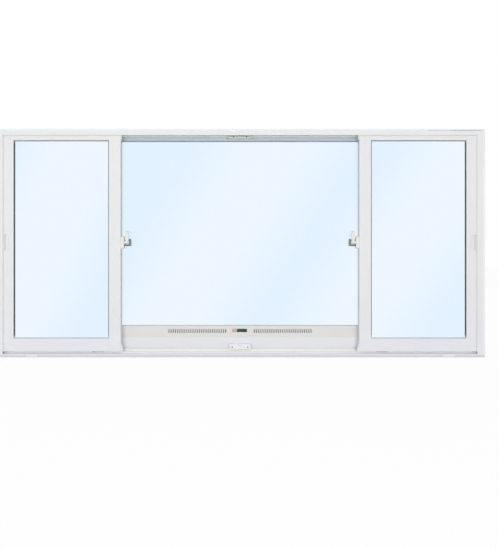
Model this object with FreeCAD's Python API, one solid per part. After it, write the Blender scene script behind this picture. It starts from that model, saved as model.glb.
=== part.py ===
import FreeCAD, Part
import math
import os

from FreeCAD import Vector

# An aluminium window seen from inside: a fixed centre light with a ventilator under its glass, and one
# sliding sash on each side that runs in front of it. X is the width, +Y points outside, +Z up. The origin is
# the middle of the sill's underside. A depth is measured from the inner face towards outside.

# Outer frame
WIDTH = 2700.0              # over the cover fins
HEIGHT = 1260.0             # over the head's cover fin
DEPTH = 130.0
WALL = 2.0                  # wall of every frame extrusion
SIDE_FIN = 12.0             # cover fin beyond the jamb
TOP_FIN = 11.0              # cover fin above the head
FIN_SETBACK = 3.0
NOSE_WIDTH = 31.0           # what the jamb's front lip covers
NOSE_RETURN = 5.0           # depth of the small return on the front lips
LIP_EASE = 0.8              # easing of the front lips' corners
HEAD_LIP = 23.0             # height of the head's front lip
SILL_LIP = 22.0
TRACK_FLOOR = 10.0
JAMB_BOX_WIDTH = 22.0       # closed box of the jamb behind the sash
HEAD_BOX_HEIGHT = 27.0      # closed boxes of the head, in front of and behind the centre light

# Side sashes
SASH_WALL = 2.0
SASH_FRONT = 10.0           # depth of the sash's front face
SASH_THICK = 34.0
SASH_EASE = 0.8             # easing of the visible edges of stiles and rails
SASH_RAIL_GAP = 1.5         # from the running rail to the sash's lowest edge
SASH_HEAD_GAP = 11.0        # lift-out room over the sash
SASH_JAMB_GAP = 20.0        # from the jamb's outer face to the sash's hidden edge
LOCK_STILE_FACE = 53.0
LOCK_REBATE = 15.0          # stepped edge that enters the jamb
REBATE_DEPTH = 4.0
MEETING_OVERHANG = 6.5      # meeting stile beyond the centre stile's inner edge
MEETING_STILE_WIDTH = 64.5
BOTTOM_RAIL_HEIGHT = 70.5
BOTTOM_POCKET = 22.5        # roller pocket that is open underneath
TOP_RAIL_HEIGHT = 38.0
TOP_POCKET = 14.0           # groove for the head's guide fin
GLAZING_SLOT = 14.0         # width and depth of the slot that takes glass and gaskets

# Centre light
DIVIDER_GAP = 4.0           # between sash and sill divider
CENTRE_GAP = 18.0           # between sash and centre light
CENTRE_THICK = 36.0
CENTRE_STILE_INNER = 665.0
CENTRE_STILE_WIDTH = 64.0
CENTRE_RAIL_HEIGHT = 52.0
CENTRE_TOP_RAIL_HEIGHT = 37.0
CENTRE_HEAD_GAP = 9.0
CENTRE_SIDE_GAP = 2.0       # before the light, to the sill's step and the head's box
CENTRE_REAR_GAP = 3.0

# Track and sill steps
RAIL_THICK = 3.0
RAIL_TOP = 32.0
RAIL_CAP_WALL = 0.8
RAIL_CAP_SKIRT = 12.0
GUIDE_DROP = 20.0           # guide fin that hangs from the head into the sash
GUIDE_GAP = 4.0             # room on each side of the guide fin in the stiles
SHELF_TOP = 41.0
PLATFORM_TOP = 53.0
REAR_SLOPE_TOP = 32.0
REAR_SLOPE_FOOT = 24.0

# Interlock hooks between meeting stile and centre stile
HOOK_WALL = 2.0
SASH_HOOK_INSET = 9.5
SASH_HOOK_REACH = 11.0
HOOK_LIP = 9.0
HOOK_GAP = 3.0
CENTRE_HOOK_REACH = 14.0

# Glass and gaskets
SASH_GLASS = 5.0
CENTRE_GLASS = 6.0
GLASS_BITE = 8.0            # how far the glass reaches into its slot
GASKET_BITE = 12.0
SASH_LIP_MEETING = 6.5      # how far the gasket's lip shows beyond the sash's stiles and rails
SASH_LIP_LOCK = 3.0
SASH_LIP_TOP = 4.0
SASH_LIP_BOTTOM = 4.0
CENTRE_LIP_SIDE = 1.5       # the same at the centre light, where no lip shows over the ventilator
CENTRE_LIP_TOP = 3.0

# Ventilator
VENT_HEIGHT = 65.0
VENT_CAP_WIDTH = 12.0
VENT_WALL = 1.5
VENT_RECESS = 1.0           # grille behind the rail's front face
SLOT_COUNT = 27
SLOT_PITCH = 12.2
SLOT_WIDTH = 5.0
SLOT_HEIGHT = 23.0
SLOT_RISE = 34.5            # middle of the slots above the foot of the ventilator
LABEL_SPACE = 148.0         # plain stretch between the two groups of slots
AIR_SLOT_RISE = 12.0        # long slots in the ventilator's back
AIR_SLOT_HEIGHT = 8.0

# Crescent latch. Angles turn about the pivot: 0 towards outside, 90 up, 180 towards the room.
HANDLE_HEIGHT = 635.0       # pivot of the latch and middle of the finger pull
LATCH_BASE_LENGTH = 72.0
LATCH_BASE_WIDTH = 26.0
LATCH_BASE_RISE = 18.0
LATCH_TAPER = 3.0
LATCH_GAP = 7.0             # between base and lever, filled by the collar
HUB_RADIUS = 9.0            # collar and lever hub
HUB_RISE = 4.0              # hub above the lever's arm
LEVER_THICK = 16.5
LEVER_LENGTH = 64.0
LEVER_TIP_RADIUS = 6.5
LEVER_LEAN = 8.0
LEVER_EDGE = 1.2
CAM_THICK = 8.5
CAM_RADIUS = 20.5           # outer radius at the leading end of the rim
CAM_WIND = 2.0              # how much the rim winds inwards to its trailing end
CAM_RIM = 3.5
CAM_WEB = 3.5
CAM_BOSS_RADIUS = 7.0
RIM_START, RIM_END = -150.0, 35.0
NIB_START, NIB_END = 95.0, 145.0
NIB_DEPTH = 7.5
TONGUE_START, TONGUE_END = -125.0, -60.0
KEEPER_PLATE = 2.5
KEEPER_GAP = 2.0            # between the keeper's leg and the latch base
KEEPER_FOOT_HEIGHT = 34.0
KEEPER_LIP_HEIGHT = 13.0
KEEPER_FOOT = 12.0          # what the keeper covers of the centre stile
KEEPER_CLEAR = 0.9          # between the keeper's lip and the hub in front of it
KEEPER_NOTCH = 26.0         # half the gap in the sash's hook that lets the keeper pass

# Finger pull
PULL_INSET = 16.0           # from the stile's stepped edge to the middle of the pull
PULL_FLANGE_WIDTH = 30.0
PULL_FLANGE_HEIGHT = 108.0
PULL_FLANGE_THICK = 1.6
PULL_CUP_WIDTH = 23.0
PULL_CUP_HEIGHT = 88.0
PULL_CUP_DEPTH = 14.0
PULL_WALL = 1.4
PULL_CORNER = 5.0

# Rollers
WHEEL_RADIUS = 10.5
WHEEL_WIDTH = 7.0
WHEEL_SPACING = 38.0
TANDEM_INSET = 62.0         # from the meeting stile to the middle of the two-wheel carriage
CORNER_INSET = 20.0         # from the sash's hidden edge to its single wheel
AXLE_RADIUS = 2.0
CARRIAGE_WALL = 1.5
CARRIAGE_END = 3.0
CARRIAGE_DROP = 4.0         # how far its cheeks hang below the sash to keep it on the rail
RUNNING_GAP = 0.3

# Stops, bumpers, drain covers and strips
BOTTOM_STOP_LENGTH = 118.0
BOTTOM_STOP_HEIGHT = 31.0
TOP_STOP_LENGTH = 129.0
TOP_STOP_DROP = 9.0         # below the head's boxes
STOP_FRONT = 24.0           # depth of the stops' faces behind the sash's front face
STOP_LIP = 2.0
STOP_LIP_HEIGHT = 5.0
STOP_EASE = 1.5
DIMPLE_LENGTH = 19.0
DIMPLE_HEIGHT = 4.0
DIMPLE_RISE = 19.0
DIMPLE_DEPTH = 3.0
BUMPER_HEIGHT = 40.0
BUMPER_TOP_HEIGHT = 24.0
BUMPER_REACH = 11.0
BUMPER_TOP_REACH = 5.0
BUMPER_SEAT = 3.0
BUMPER_PLATEAU = 10.0
BUMPER_SIDE = 4.0
DRAIN_INSET = 192.0
DRAIN_LENGTH = 62.0
DRAIN_HEIGHT = 9.0
DRAIN_RISE = 8.0
DRAIN_THICK = 2.0
SEAL_LENGTH = 300.0
SEAL_HEIGHT = 3.5
SEAL_THICK = 2.0

# Fixing holes of the frame: one pair in each jamb, two pairs in the head
FIXING_RADIUS = 3.0
FIXING_DEPTH = 15.0
JAMB_PAIR_PITCH = 600.0
HEAD_PAIR_PITCH = 650.0
HEAD_PAIR_OFFSET = 675.0    # from the head's middle to the middle of each pair

# Sizes worked out from the ones above
BODY_TOP = HEIGHT - TOP_FIN
BODY_HALF = WIDTH / 2 - SIDE_FIN
WEB = BODY_HALF - WALL
NOSE = BODY_HALF - NOSE_WIDTH
JAMB_BOX = BODY_HALF - JAMB_BOX_WIDTH
HEAD_BOX_FOOT = BODY_TOP - HEAD_BOX_HEIGHT
SASH_REAR = SASH_FRONT + SASH_THICK
SASH_MIDDLE = SASH_FRONT + SASH_THICK / 2
SASH_FOOT = RAIL_TOP + SASH_RAIL_GAP
SASH_TOP = BODY_TOP - SASH_HEAD_GAP
DIVIDER_DEPTH = SASH_REAR + DIVIDER_GAP
CENTRE_FRONT = SASH_REAR + CENTRE_GAP
CENTRE_REAR = CENTRE_FRONT + CENTRE_THICK
CENTRE_MIDDLE = CENTRE_FRONT + CENTRE_THICK / 2
CENTRE_TOP = BODY_TOP - CENTRE_HEAD_GAP
CENTRE_TOP_RAIL_FOOT = CENTRE_TOP - CENTRE_TOP_RAIL_HEIGHT
CENTRE_RAIL_TOP = PLATFORM_TOP + CENTRE_RAIL_HEIGHT
PLATFORM_DEPTH = CENTRE_FRONT - CENTRE_SIDE_GAP
PLATFORM_REAR = CENTRE_REAR + CENTRE_REAR_GAP
MEETING_STILE_INNER = CENTRE_STILE_INNER - MEETING_OVERHANG
MEETING_OUTER = MEETING_STILE_INNER + MEETING_STILE_WIDTH
LOCK_STILE_OUTER = BODY_HALF - SASH_JAMB_GAP
LOCK_STEP = LOCK_STILE_OUTER - LOCK_REBATE
LOCK_STILE_INNER = LOCK_STEP - LOCK_STILE_FACE
SASH_GLASS_FOOT = SASH_FOOT + BOTTOM_RAIL_HEIGHT
SASH_GLASS_TOP = SASH_TOP - TOP_RAIL_HEIGHT
VENT_TOP = CENTRE_RAIL_TOP + VENT_HEIGHT
VENT_HALF = CENTRE_STILE_INNER - VENT_CAP_WIDTH
STOP_FACE = SASH_FRONT + STOP_FRONT
BASE_TOP = MEETING_STILE_INNER - LATCH_BASE_RISE
LEVER_OUTER = BASE_TOP - LATCH_GAP
LEVER_INNER = LEVER_OUTER - LEVER_THICK
HUB_FACE = LEVER_INNER - HUB_RISE
CAM_OUTER = HUB_FACE - RUNNING_GAP
CAM_INNER = CAM_OUTER - CAM_THICK
PULL_X = LOCK_STEP - PULL_INSET
TANDEM_X = MEETING_OUTER + TANDEM_INSET
CORNER_WHEEL_X = LOCK_STILE_OUTER - CORNER_INSET
AXLE_Z = RAIL_TOP + WHEEL_RADIUS
CARRIAGE_FOOT = SASH_FOOT - CARRIAGE_DROP
CARRIAGE_TOP = SASH_FOOT + BOTTOM_POCKET
SLOT_GROUP = SLOT_COUNT * SLOT_PITCH
SLOT_GROUP_X = (LABEL_SPACE + SLOT_GROUP) / 2
CUT = 5.0                   # how far cutting blocks reach past what they cut


def y_at(depth):
    """The Y of a depth behind the inner face."""
    return depth - DEPTH / 2


def box(x_range, depth_range, z_range):
    """A block between two values on each axis."""
    (x0, x1), (d0, d1), (z0, z1) = x_range, depth_range, z_range
    return Part.makeBox(x1 - x0, d1 - d0, z1 - z0, Vector(x0, y_at(d0), z0))


def loop(points, place, rounded=False):
    """A closed wire through points, each set in space by place.

    A third value eases that right-angled corner by so much, with a flat, or with an arc if rounded.
    """
    corners = [place(*point[:2]) for point in points]
    behind = corners[-1:] + corners[:-1]
    ahead = corners[1:] + corners[:1]
    edges = []
    ends = []
    for point, corner, before, after in zip(points, corners, behind, ahead):
        if len(point) == 2:
            ends.append((corner, corner))
            continue
        start = corner + (before - corner).normalize() * point[2]
        end = corner + (after - corner).normalize() * point[2]
        bulge = corner + (start + end - corner * 2) * (1 - math.sqrt(0.5))
        easing = Part.Arc(start, bulge, end) if rounded else Part.LineSegment(start, end)
        edges.append(easing.toShape())
        ends.append((start, end))
    for (_, start), (end, _) in zip(ends, ends[1:] + ends[:1]):
        edges.append(Part.LineSegment(start, end).toShape())
    return Part.Wire(Part.__sortEdges__(edges))


def section(outline, hollows, place):
    """A flat face with an outline and closed hollows."""
    wires = [loop(outline, place)] + [loop(h, place) for h in hollows]
    return Part.makeFace(wires, "Part::FaceMakerBullseye")


def rail(outline, hollows, x_range):
    """An extrusion along X from a section in depth and height."""
    x0, x1 = x_range
    face = section(outline, hollows, lambda d, z: Vector(x0, y_at(d), z))
    return face.extrude(Vector(x1 - x0, 0, 0))


def upright(outline, hollows, z_range):
    """An extrusion along Z from a section in X and depth."""
    z0, z1 = z_range
    face = section(outline, hollows, lambda x, d: Vector(x, y_at(d), z0))
    return face.extrude(Vector(0, 0, z1 - z0))


def mirrored(shape):
    """The same piece on the other side of the window."""
    return shape.mirror(Vector(0, 0, 0), Vector(1, 0, 0))


def both_sides(shape):
    """A right-hand piece together with its left-hand twin, as solids that don't touch."""
    return Part.makeCompound([shape, mirrored(shape)])


def rounded_rectangle(x_middle, z_middle, width, height, radius, depth_range):
    """A block along Y with rounded corners."""
    (x0, x1), (z0, z1) = (
        (x_middle - width / 2, x_middle + width / 2),
        (z_middle - height / 2, z_middle + height / 2),
    )
    d0, d1 = depth_range
    outline = [(x0, z0, radius), (x1, z0, radius), (x1, z1, radius), (x0, z1, radius)]
    face = Part.Face(loop(outline, lambda x, z: Vector(x, y_at(d0), z), rounded=True))
    return face.extrude(Vector(0, d1 - d0, 0))


# Outer frame


def jamb():
    """The right jamb: front lip, web, closed rear box and cover fin."""
    outline = [
        (BODY_HALF, 0),
        (NOSE, 0, LIP_EASE),
        (NOSE, NOSE_RETURN),
        (NOSE + WALL, NOSE_RETURN),
        (NOSE + WALL, WALL),
        (WEB, WALL),
        (WEB, DIVIDER_DEPTH),
        (JAMB_BOX, DIVIDER_DEPTH),
        (JAMB_BOX, DEPTH),
        (BODY_HALF, DEPTH),
    ]
    hollow = [
        (JAMB_BOX + WALL, DIVIDER_DEPTH + WALL),
        (WEB, DIVIDER_DEPTH + WALL),
        (WEB, DEPTH - WALL),
        (JAMB_BOX + WALL, DEPTH - WALL),
    ]
    body = upright(outline, [hollow], (0, BODY_TOP))
    fin_depth = (FIN_SETBACK, FIN_SETBACK + WALL)
    fin = box((BODY_HALF, WIDTH / 2), fin_depth, (0, HEIGHT))
    corner = box((NOSE, WIDTH / 2), fin_depth, (BODY_TOP, HEIGHT))
    body = body.fuse([fin, corner])
    for z in pair_of(HEIGHT / 2, JAMB_PAIR_PITCH):
        start = Vector(WEB - WALL, y_at(FIXING_DEPTH), z)
        body = body.cut(Part.makeCylinder(FIXING_RADIUS, 3 * WALL, start, Vector(1, 0, 0)))
    return body


def pair_of(middle, pitch):
    """The two places half a pitch either side of a middle."""
    return [middle - pitch / 2, middle + pitch / 2]


def coped(bar, z_range):
    """A head or sill bar cut at both ends to fit round the jambs' lips and boxes."""
    past = BODY_HALF + CUT
    for cut in (
        box((NOSE, past), (-CUT, NOSE_RETURN), z_range),
        box((JAMB_BOX, past), (DIVIDER_DEPTH, DEPTH + CUT), z_range),
    ):
        bar = bar.cut(cut).cut(mirrored(cut))
    return bar


def head():
    """The head: front lip, guide fin for the sashes, two closed boxes and the cover fin."""
    ceiling = BODY_TOP - WALL
    lip_foot = BODY_TOP - HEAD_LIP
    guide_foot = BODY_TOP - GUIDE_DROP
    front, back = SASH_MIDDLE - RAIL_THICK / 2, SASH_MIDDLE + RAIL_THICK / 2
    outline = [
        (0, BODY_TOP),
        (0, lip_foot, LIP_EASE),
        (NOSE_RETURN, lip_foot),
        (NOSE_RETURN, lip_foot + WALL),
        (WALL, lip_foot + WALL),
        (WALL, ceiling),
        (front, ceiling),
        (front, guide_foot),
        (back, guide_foot),
        (back, ceiling),
        (DIVIDER_DEPTH, ceiling),
        (DIVIDER_DEPTH, HEAD_BOX_FOOT),
        (PLATFORM_DEPTH, HEAD_BOX_FOOT),
        (PLATFORM_DEPTH, ceiling),
        (PLATFORM_REAR, ceiling),
        (PLATFORM_REAR, HEAD_BOX_FOOT),
        (DEPTH, HEAD_BOX_FOOT),
        (DEPTH, BODY_TOP),
    ]
    hollows = [
        box_hollow(DIVIDER_DEPTH, PLATFORM_DEPTH, HEAD_BOX_FOOT, BODY_TOP),
        box_hollow(PLATFORM_REAR, DEPTH, HEAD_BOX_FOOT, BODY_TOP),
    ]
    bar = coped(rail(outline, hollows, (-WEB, WEB)), (0, HEIGHT))
    fin = box((-NOSE, NOSE), (FIN_SETBACK, FIN_SETBACK + WALL), (BODY_TOP, HEIGHT))
    bar = bar.fuse(fin)
    for x in pair_of(-HEAD_PAIR_OFFSET, HEAD_PAIR_PITCH) + pair_of(HEAD_PAIR_OFFSET, HEAD_PAIR_PITCH):
        start = Vector(x, y_at(FIXING_DEPTH), ceiling - WALL)
        bar = bar.cut(Part.makeCylinder(FIXING_RADIUS, 3 * WALL, start))
    return bar


def box_hollow(d0, d1, z0, z1):
    """The hollow of a closed box, one wall inside its outline."""
    return [
        (d0 + WALL, z0 + WALL),
        (d1 - WALL, z0 + WALL),
        (d1 - WALL, z1 - WALL),
        (d0 + WALL, z1 - WALL),
    ]


def sill():
    """The sill: front lip, track floor with the rail's upstand, shelf, platform and rear slope."""
    front, back = SASH_MIDDLE - RAIL_THICK / 2, SASH_MIDDLE + RAIL_THICK / 2
    rail_top = RAIL_TOP - RAIL_CAP_WALL
    outline = [
        (0, 0, LIP_EASE),
        (0, SILL_LIP, LIP_EASE),
        (NOSE_RETURN, SILL_LIP),
        (NOSE_RETURN, SILL_LIP - WALL),
        (WALL, SILL_LIP - WALL),
        (WALL, TRACK_FLOOR),
        (front, TRACK_FLOOR),
        (front, rail_top),
        (back, rail_top),
        (back, TRACK_FLOOR),
        (DIVIDER_DEPTH, TRACK_FLOOR),
        (DIVIDER_DEPTH, SHELF_TOP, LIP_EASE),
        (PLATFORM_DEPTH, SHELF_TOP),
        (PLATFORM_DEPTH, PLATFORM_TOP, LIP_EASE),
        (PLATFORM_REAR, PLATFORM_TOP),
        (PLATFORM_REAR, REAR_SLOPE_TOP),
        (DEPTH, REAR_SLOPE_FOOT),
        (DEPTH, 0),
    ]
    track_hollow = [
        (WALL, WALL),
        (DIVIDER_DEPTH, WALL),
        (DIVIDER_DEPTH, TRACK_FLOOR - WALL),
        (WALL, TRACK_FLOOR - WALL),
    ]
    step_hollow = [
        (DIVIDER_DEPTH + WALL, WALL),
        (DEPTH - WALL, WALL),
        (DEPTH - WALL, REAR_SLOPE_FOOT - WALL),
        (PLATFORM_REAR - WALL, REAR_SLOPE_TOP - WALL),
        (PLATFORM_REAR - WALL, PLATFORM_TOP - WALL),
        (PLATFORM_DEPTH + WALL, PLATFORM_TOP - WALL),
        (PLATFORM_DEPTH + WALL, SHELF_TOP - WALL),
        (DIVIDER_DEPTH + WALL, SHELF_TOP - WALL),
    ]
    bar = rail(outline, [track_hollow, step_hollow], (-WEB, WEB))
    return coped(bar, (-CUT, HEIGHT))


def rail_cap():
    """The thin running strip clipped over the sill's upstand."""
    inner, outer = RAIL_THICK / 2, RAIL_THICK / 2 + RAIL_CAP_WALL
    foot = RAIL_TOP - RAIL_CAP_SKIRT
    outline = [
        (SASH_MIDDLE - outer, foot),
        (SASH_MIDDLE - outer, RAIL_TOP, RAIL_CAP_WALL),
        (SASH_MIDDLE + outer, RAIL_TOP, RAIL_CAP_WALL),
        (SASH_MIDDLE + outer, foot),
        (SASH_MIDDLE + inner, foot),
        (SASH_MIDDLE + inner, RAIL_TOP - RAIL_CAP_WALL),
        (SASH_MIDDLE - inner, RAIL_TOP - RAIL_CAP_WALL),
        (SASH_MIDDLE - inner, foot),
    ]
    return rail(outline, [], (-NOSE, NOSE))


def head_seal_strip():
    """A short grey strip left showing on the head's upper edge at the right."""
    return box(
        (WEB - SEAL_LENGTH, WEB),
        (FIN_SETBACK - SEAL_THICK, FIN_SETBACK),
        (BODY_TOP, BODY_TOP + SEAL_HEIGHT),
    )


def drain_cover():
    """A low drain cover on the sill's face, its top edge sloping."""
    x1 = BODY_HALF - DRAIN_INSET + DRAIN_LENGTH / 2
    top = DRAIN_RISE + DRAIN_HEIGHT
    outline = [(0, DRAIN_RISE), (-DRAIN_THICK, DRAIN_RISE), (-DRAIN_THICK, top - DRAIN_THICK), (0, top)]
    return rail(outline, [], (x1 - DRAIN_LENGTH, x1))


# Sash and centre light extrusions


def slotted_stile(inner, outer, front, thick, rebate, rebate_depth):
    """Outline and hollow of a stile, its glazing slot on one edge and maybe a stepped edge on the other."""
    side = 1 if outer > inner else -1
    rear = front + thick
    middle = front + thick / 2
    slot_front, slot_rear = middle - GLAZING_SLOT / 2, middle + GLAZING_SLOT / 2
    slot_end = inner + side * GLAZING_SLOT
    wall = SASH_WALL
    step = outer - side * rebate
    outline = [
        (inner, front, SASH_EASE),
        (step, front, SASH_EASE),
        (step, front + rebate_depth),
        (outer, front + rebate_depth),
        (outer, rear, SASH_EASE),
        (inner, rear, SASH_EASE),
        (inner, slot_rear),
        (slot_end, slot_rear),
        (slot_end, slot_front),
        (inner, slot_front),
    ]
    hollow = [
        (inner + side * wall, front + wall),
        (step - side * wall, front + wall),
        (step - side * wall, front + rebate_depth + wall),
        (outer - side * wall, front + rebate_depth + wall),
        (outer - side * wall, rear - wall),
        (inner + side * wall, rear - wall),
        (inner + side * wall, slot_rear + wall),
        (slot_end + side * wall, slot_rear + wall),
        (slot_end + side * wall, slot_front - wall),
        (inner + side * wall, slot_front - wall),
    ]
    if not rebate:
        outline = outline[:2] + outline[4:]
        hollow = hollow[:2] + hollow[4:]
    return outline, hollow


def slotted_rail(glass_edge, far_edge, pocket, front, thick):
    """Outline and hollow of a rail with its glazing slot on one edge and an open pocket on the other."""
    side = 1 if far_edge > glass_edge else -1
    rear = front + thick
    middle = front + thick / 2
    slot_front, slot_rear = middle - GLAZING_SLOT / 2, middle + GLAZING_SLOT / 2
    slot_end = glass_edge + side * GLAZING_SLOT
    wall = SASH_WALL
    pocket_end = far_edge - side * pocket
    outline = [
        (front, glass_edge, SASH_EASE),
        (slot_front, glass_edge),
        (slot_front, slot_end),
        (slot_rear, slot_end),
        (slot_rear, glass_edge),
        (rear, glass_edge, SASH_EASE),
        (rear, far_edge),
        (rear - wall, far_edge),
        (rear - wall, pocket_end),
        (front + wall, pocket_end),
        (front + wall, far_edge),
        (front, far_edge),
    ]
    hollow = [
        (front + wall, glass_edge + side * wall),
        (slot_front - wall, glass_edge + side * wall),
        (slot_front - wall, slot_end + side * wall),
        (slot_rear + wall, slot_end + side * wall),
        (slot_rear + wall, glass_edge + side * wall),
        (rear - wall, glass_edge + side * wall),
        (rear - wall, pocket_end - side * wall),
        (front + wall, pocket_end - side * wall),
    ]
    return outline, hollow


def lock_stile():
    """The sash's outer stile, with the hole that takes the finger pull's cup."""
    outline, hollow = slotted_stile(
        LOCK_STILE_INNER, LOCK_STILE_OUTER, SASH_FRONT, SASH_THICK, LOCK_REBATE, REBATE_DEPTH
    )
    stile = upright(outline, [hollow], (SASH_FOOT, SASH_TOP))
    return stile.cut([pull_cup((SASH_FRONT - SASH_WALL, SASH_FRONT + 2 * SASH_WALL)), guide_slot()])


def meeting_stile():
    """The sash's inner stile, with the interlock hook on its back and the keeper's notch in the hook."""
    outline, hollow = slotted_stile(MEETING_OUTER, MEETING_STILE_INNER, SASH_FRONT, SASH_THICK, 0, 0)
    stile = upright(outline, [hollow], (SASH_FOOT, SASH_TOP))
    leg = MEETING_STILE_INNER + SASH_HOOK_INSET
    tip = SASH_REAR + SASH_HOOK_REACH
    hook = [
        (leg, SASH_REAR),
        (leg + HOOK_WALL, SASH_REAR),
        (leg + HOOK_WALL, tip - HOOK_WALL),
        (leg + HOOK_WALL + HOOK_LIP, tip - HOOK_WALL),
        (leg + HOOK_WALL + HOOK_LIP, tip),
        (leg, tip),
    ]
    rib = upright(hook, [], (SHELF_TOP + HOOK_GAP, HEAD_BOX_FOOT - HOOK_GAP))
    notch = box((0, WIDTH), (0, DEPTH), (HANDLE_HEIGHT - KEEPER_NOTCH, HANDLE_HEIGHT + KEEPER_NOTCH))
    return stile.cut(guide_slot()).fuse(rib.cut(notch))


def guide_slot():
    """What both stiles lose at the top so that the head's guide fin passes through."""
    half = RAIL_THICK / 2 + GUIDE_GAP
    depth_range = (SASH_MIDDLE - half, SASH_MIDDLE + half)
    return box((0, WIDTH), depth_range, (SASH_TOP - TOP_POCKET, SASH_TOP + CUT))


def sash_rail(glass_edge, far_edge, pocket):
    """A sash rail between the two stiles."""
    outline, hollow = slotted_rail(glass_edge, far_edge, pocket, SASH_FRONT, SASH_THICK)
    return rail(outline, [hollow], (MEETING_OUTER, LOCK_STILE_INNER))


def centre_stile():
    """The right stile of the centre light, with its hook for the sash's hook."""
    outer = CENTRE_STILE_INNER + CENTRE_STILE_WIDTH
    outline, hollow = slotted_stile(CENTRE_STILE_INNER, outer, CENTRE_FRONT, CENTRE_THICK, 0, 0)
    stile = upright(outline, [hollow], (PLATFORM_TOP, CENTRE_TOP))
    sash_tip = MEETING_STILE_INNER + SASH_HOOK_INSET + HOOK_WALL + HOOK_LIP
    leg = sash_tip + HOOK_GAP
    tip = CENTRE_FRONT - CENTRE_HOOK_REACH
    hook = [
        (leg, CENTRE_FRONT),
        (leg, tip + HOOK_WALL),
        (leg - HOOK_LIP, tip + HOOK_WALL),
        (leg - HOOK_LIP, tip),
        (leg + HOOK_WALL, tip),
        (leg + HOOK_WALL, CENTRE_FRONT),
    ]
    rib = upright(hook, [], (PLATFORM_TOP, HEAD_BOX_FOOT - HOOK_GAP))
    return stile.fuse(rib)


def centre_rail(glass_edge, far_edge):
    """A rail of the centre light between its stiles."""
    outline, hollow = slotted_rail(glass_edge, far_edge, SASH_WALL, CENTRE_FRONT, CENTRE_THICK)
    return rail(outline, [hollow], (-CENTRE_STILE_INNER, CENTRE_STILE_INNER))


def pane(x_range, z_range, middle, thick):
    """A sheet of glass that bites into the slots around it."""
    (x0, x1), (z0, z1) = x_range, z_range
    return box(
        (x0 - GLASS_BITE, x1 + GLASS_BITE),
        (middle - thick / 2, middle + thick / 2),
        (z0 - GLASS_BITE, z1 + GLASS_BITE),
    )


def gasket_ring(x_range, z_range, depth_range, lips):
    """One gasket frame between a slot's wall and the glass; lips says how far it shows all round."""
    (x0, x1), (z0, z1) = x_range, z_range
    first, second, foot, top = lips
    outer = box((x0 - GASKET_BITE, x1 + GASKET_BITE), depth_range, (z0 - GASKET_BITE, z1 + GASKET_BITE))
    inner = box((x0 + first, x1 - second), depth_range, (z0 + foot, z1 - top))
    return outer.cut(inner)


def gaskets(x_range, z_range, middle, thick, lips):
    """The inner and the outer gasket frame of one pane."""
    half_slot = GLAZING_SLOT / 2
    return Part.makeCompound(
        [
            gasket_ring(x_range, z_range, (middle - half_slot, middle - thick / 2), lips),
            gasket_ring(x_range, z_range, (middle + thick / 2, middle + half_slot), lips),
        ]
    )


# Ventilator


def vent_body():
    """The ventilator's channel: open towards the grille, with the glazing slot on top and a slotted back."""
    front = CENTRE_FRONT + VENT_RECESS + VENT_WALL
    rear = CENTRE_REAR
    foot, top = CENTRE_RAIL_TOP, VENT_TOP
    slot_front, slot_rear = CENTRE_MIDDLE - GLAZING_SLOT / 2, CENTRE_MIDDLE + GLAZING_SLOT / 2
    slot_floor = top - GLAZING_SLOT
    wall = VENT_WALL
    outline = [
        (front, foot),
        (rear, foot),
        (rear, top),
        (slot_rear, top),
        (slot_rear, slot_floor),
        (slot_front, slot_floor),
        (slot_front, top),
        (front, top),
        (front, top - wall),
        (slot_front - wall, top - wall),
        (slot_front - wall, slot_floor - wall),
        (slot_rear + wall, slot_floor - wall),
        (slot_rear + wall, top - wall),
        (rear - wall, top - wall),
        (rear - wall, foot + wall),
        (front, foot + wall),
    ]
    body = rail(outline, [], (-VENT_HALF, VENT_HALF))
    air_slot = box(
        (SLOT_GROUP_X - SLOT_GROUP / 2, SLOT_GROUP_X + SLOT_GROUP / 2),
        (rear - 2 * wall, rear + wall),
        (foot + AIR_SLOT_RISE, foot + AIR_SLOT_RISE + AIR_SLOT_HEIGHT),
    )
    return body.cut([air_slot, mirrored(air_slot)])


def vent_grille():
    """The ventilator's face: one plate with two groups of upright slots."""
    front = CENTRE_FRONT + VENT_RECESS
    plate = box((-VENT_HALF, VENT_HALF), (front, front + VENT_WALL), (CENTRE_RAIL_TOP, VENT_TOP))
    middle_z = CENTRE_RAIL_TOP + SLOT_RISE
    slots = []
    for number in range(SLOT_COUNT):
        x = SLOT_GROUP_X + (number - (SLOT_COUNT - 1) / 2) * SLOT_PITCH
        slot = box(
            (x - SLOT_WIDTH / 2, x + SLOT_WIDTH / 2),
            (front - VENT_WALL, front + 2 * VENT_WALL),
            (middle_z - SLOT_HEIGHT / 2, middle_z + SLOT_HEIGHT / 2),
        )
        slots.extend([slot, mirrored(slot)])
    return plate.cut(Part.makeCompound(slots))


def vent_end_cap():
    """The ventilator's right end cap, as deep as the centre light, with the glazing slot cut in its top."""
    cap = box((VENT_HALF, CENTRE_STILE_INNER), (CENTRE_FRONT, CENTRE_REAR), (CENTRE_RAIL_TOP, VENT_TOP))
    half_slot = GLAZING_SLOT / 2
    slot = box(
        (0, WIDTH),
        (CENTRE_MIDDLE - half_slot, CENTRE_MIDDLE + half_slot),
        (VENT_TOP - GLAZING_SLOT, VENT_TOP + CUT),
    )
    return cap.cut(slot)


# Crescent latch


def turned(x, radius, angle):
    """A point at an angle and radius about the latch's pivot."""
    turn = math.radians(angle)
    return Vector(x, y_at(SASH_MIDDLE) + radius * math.cos(turn), HANDLE_HEIGHT + radius * math.sin(turn))


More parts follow.
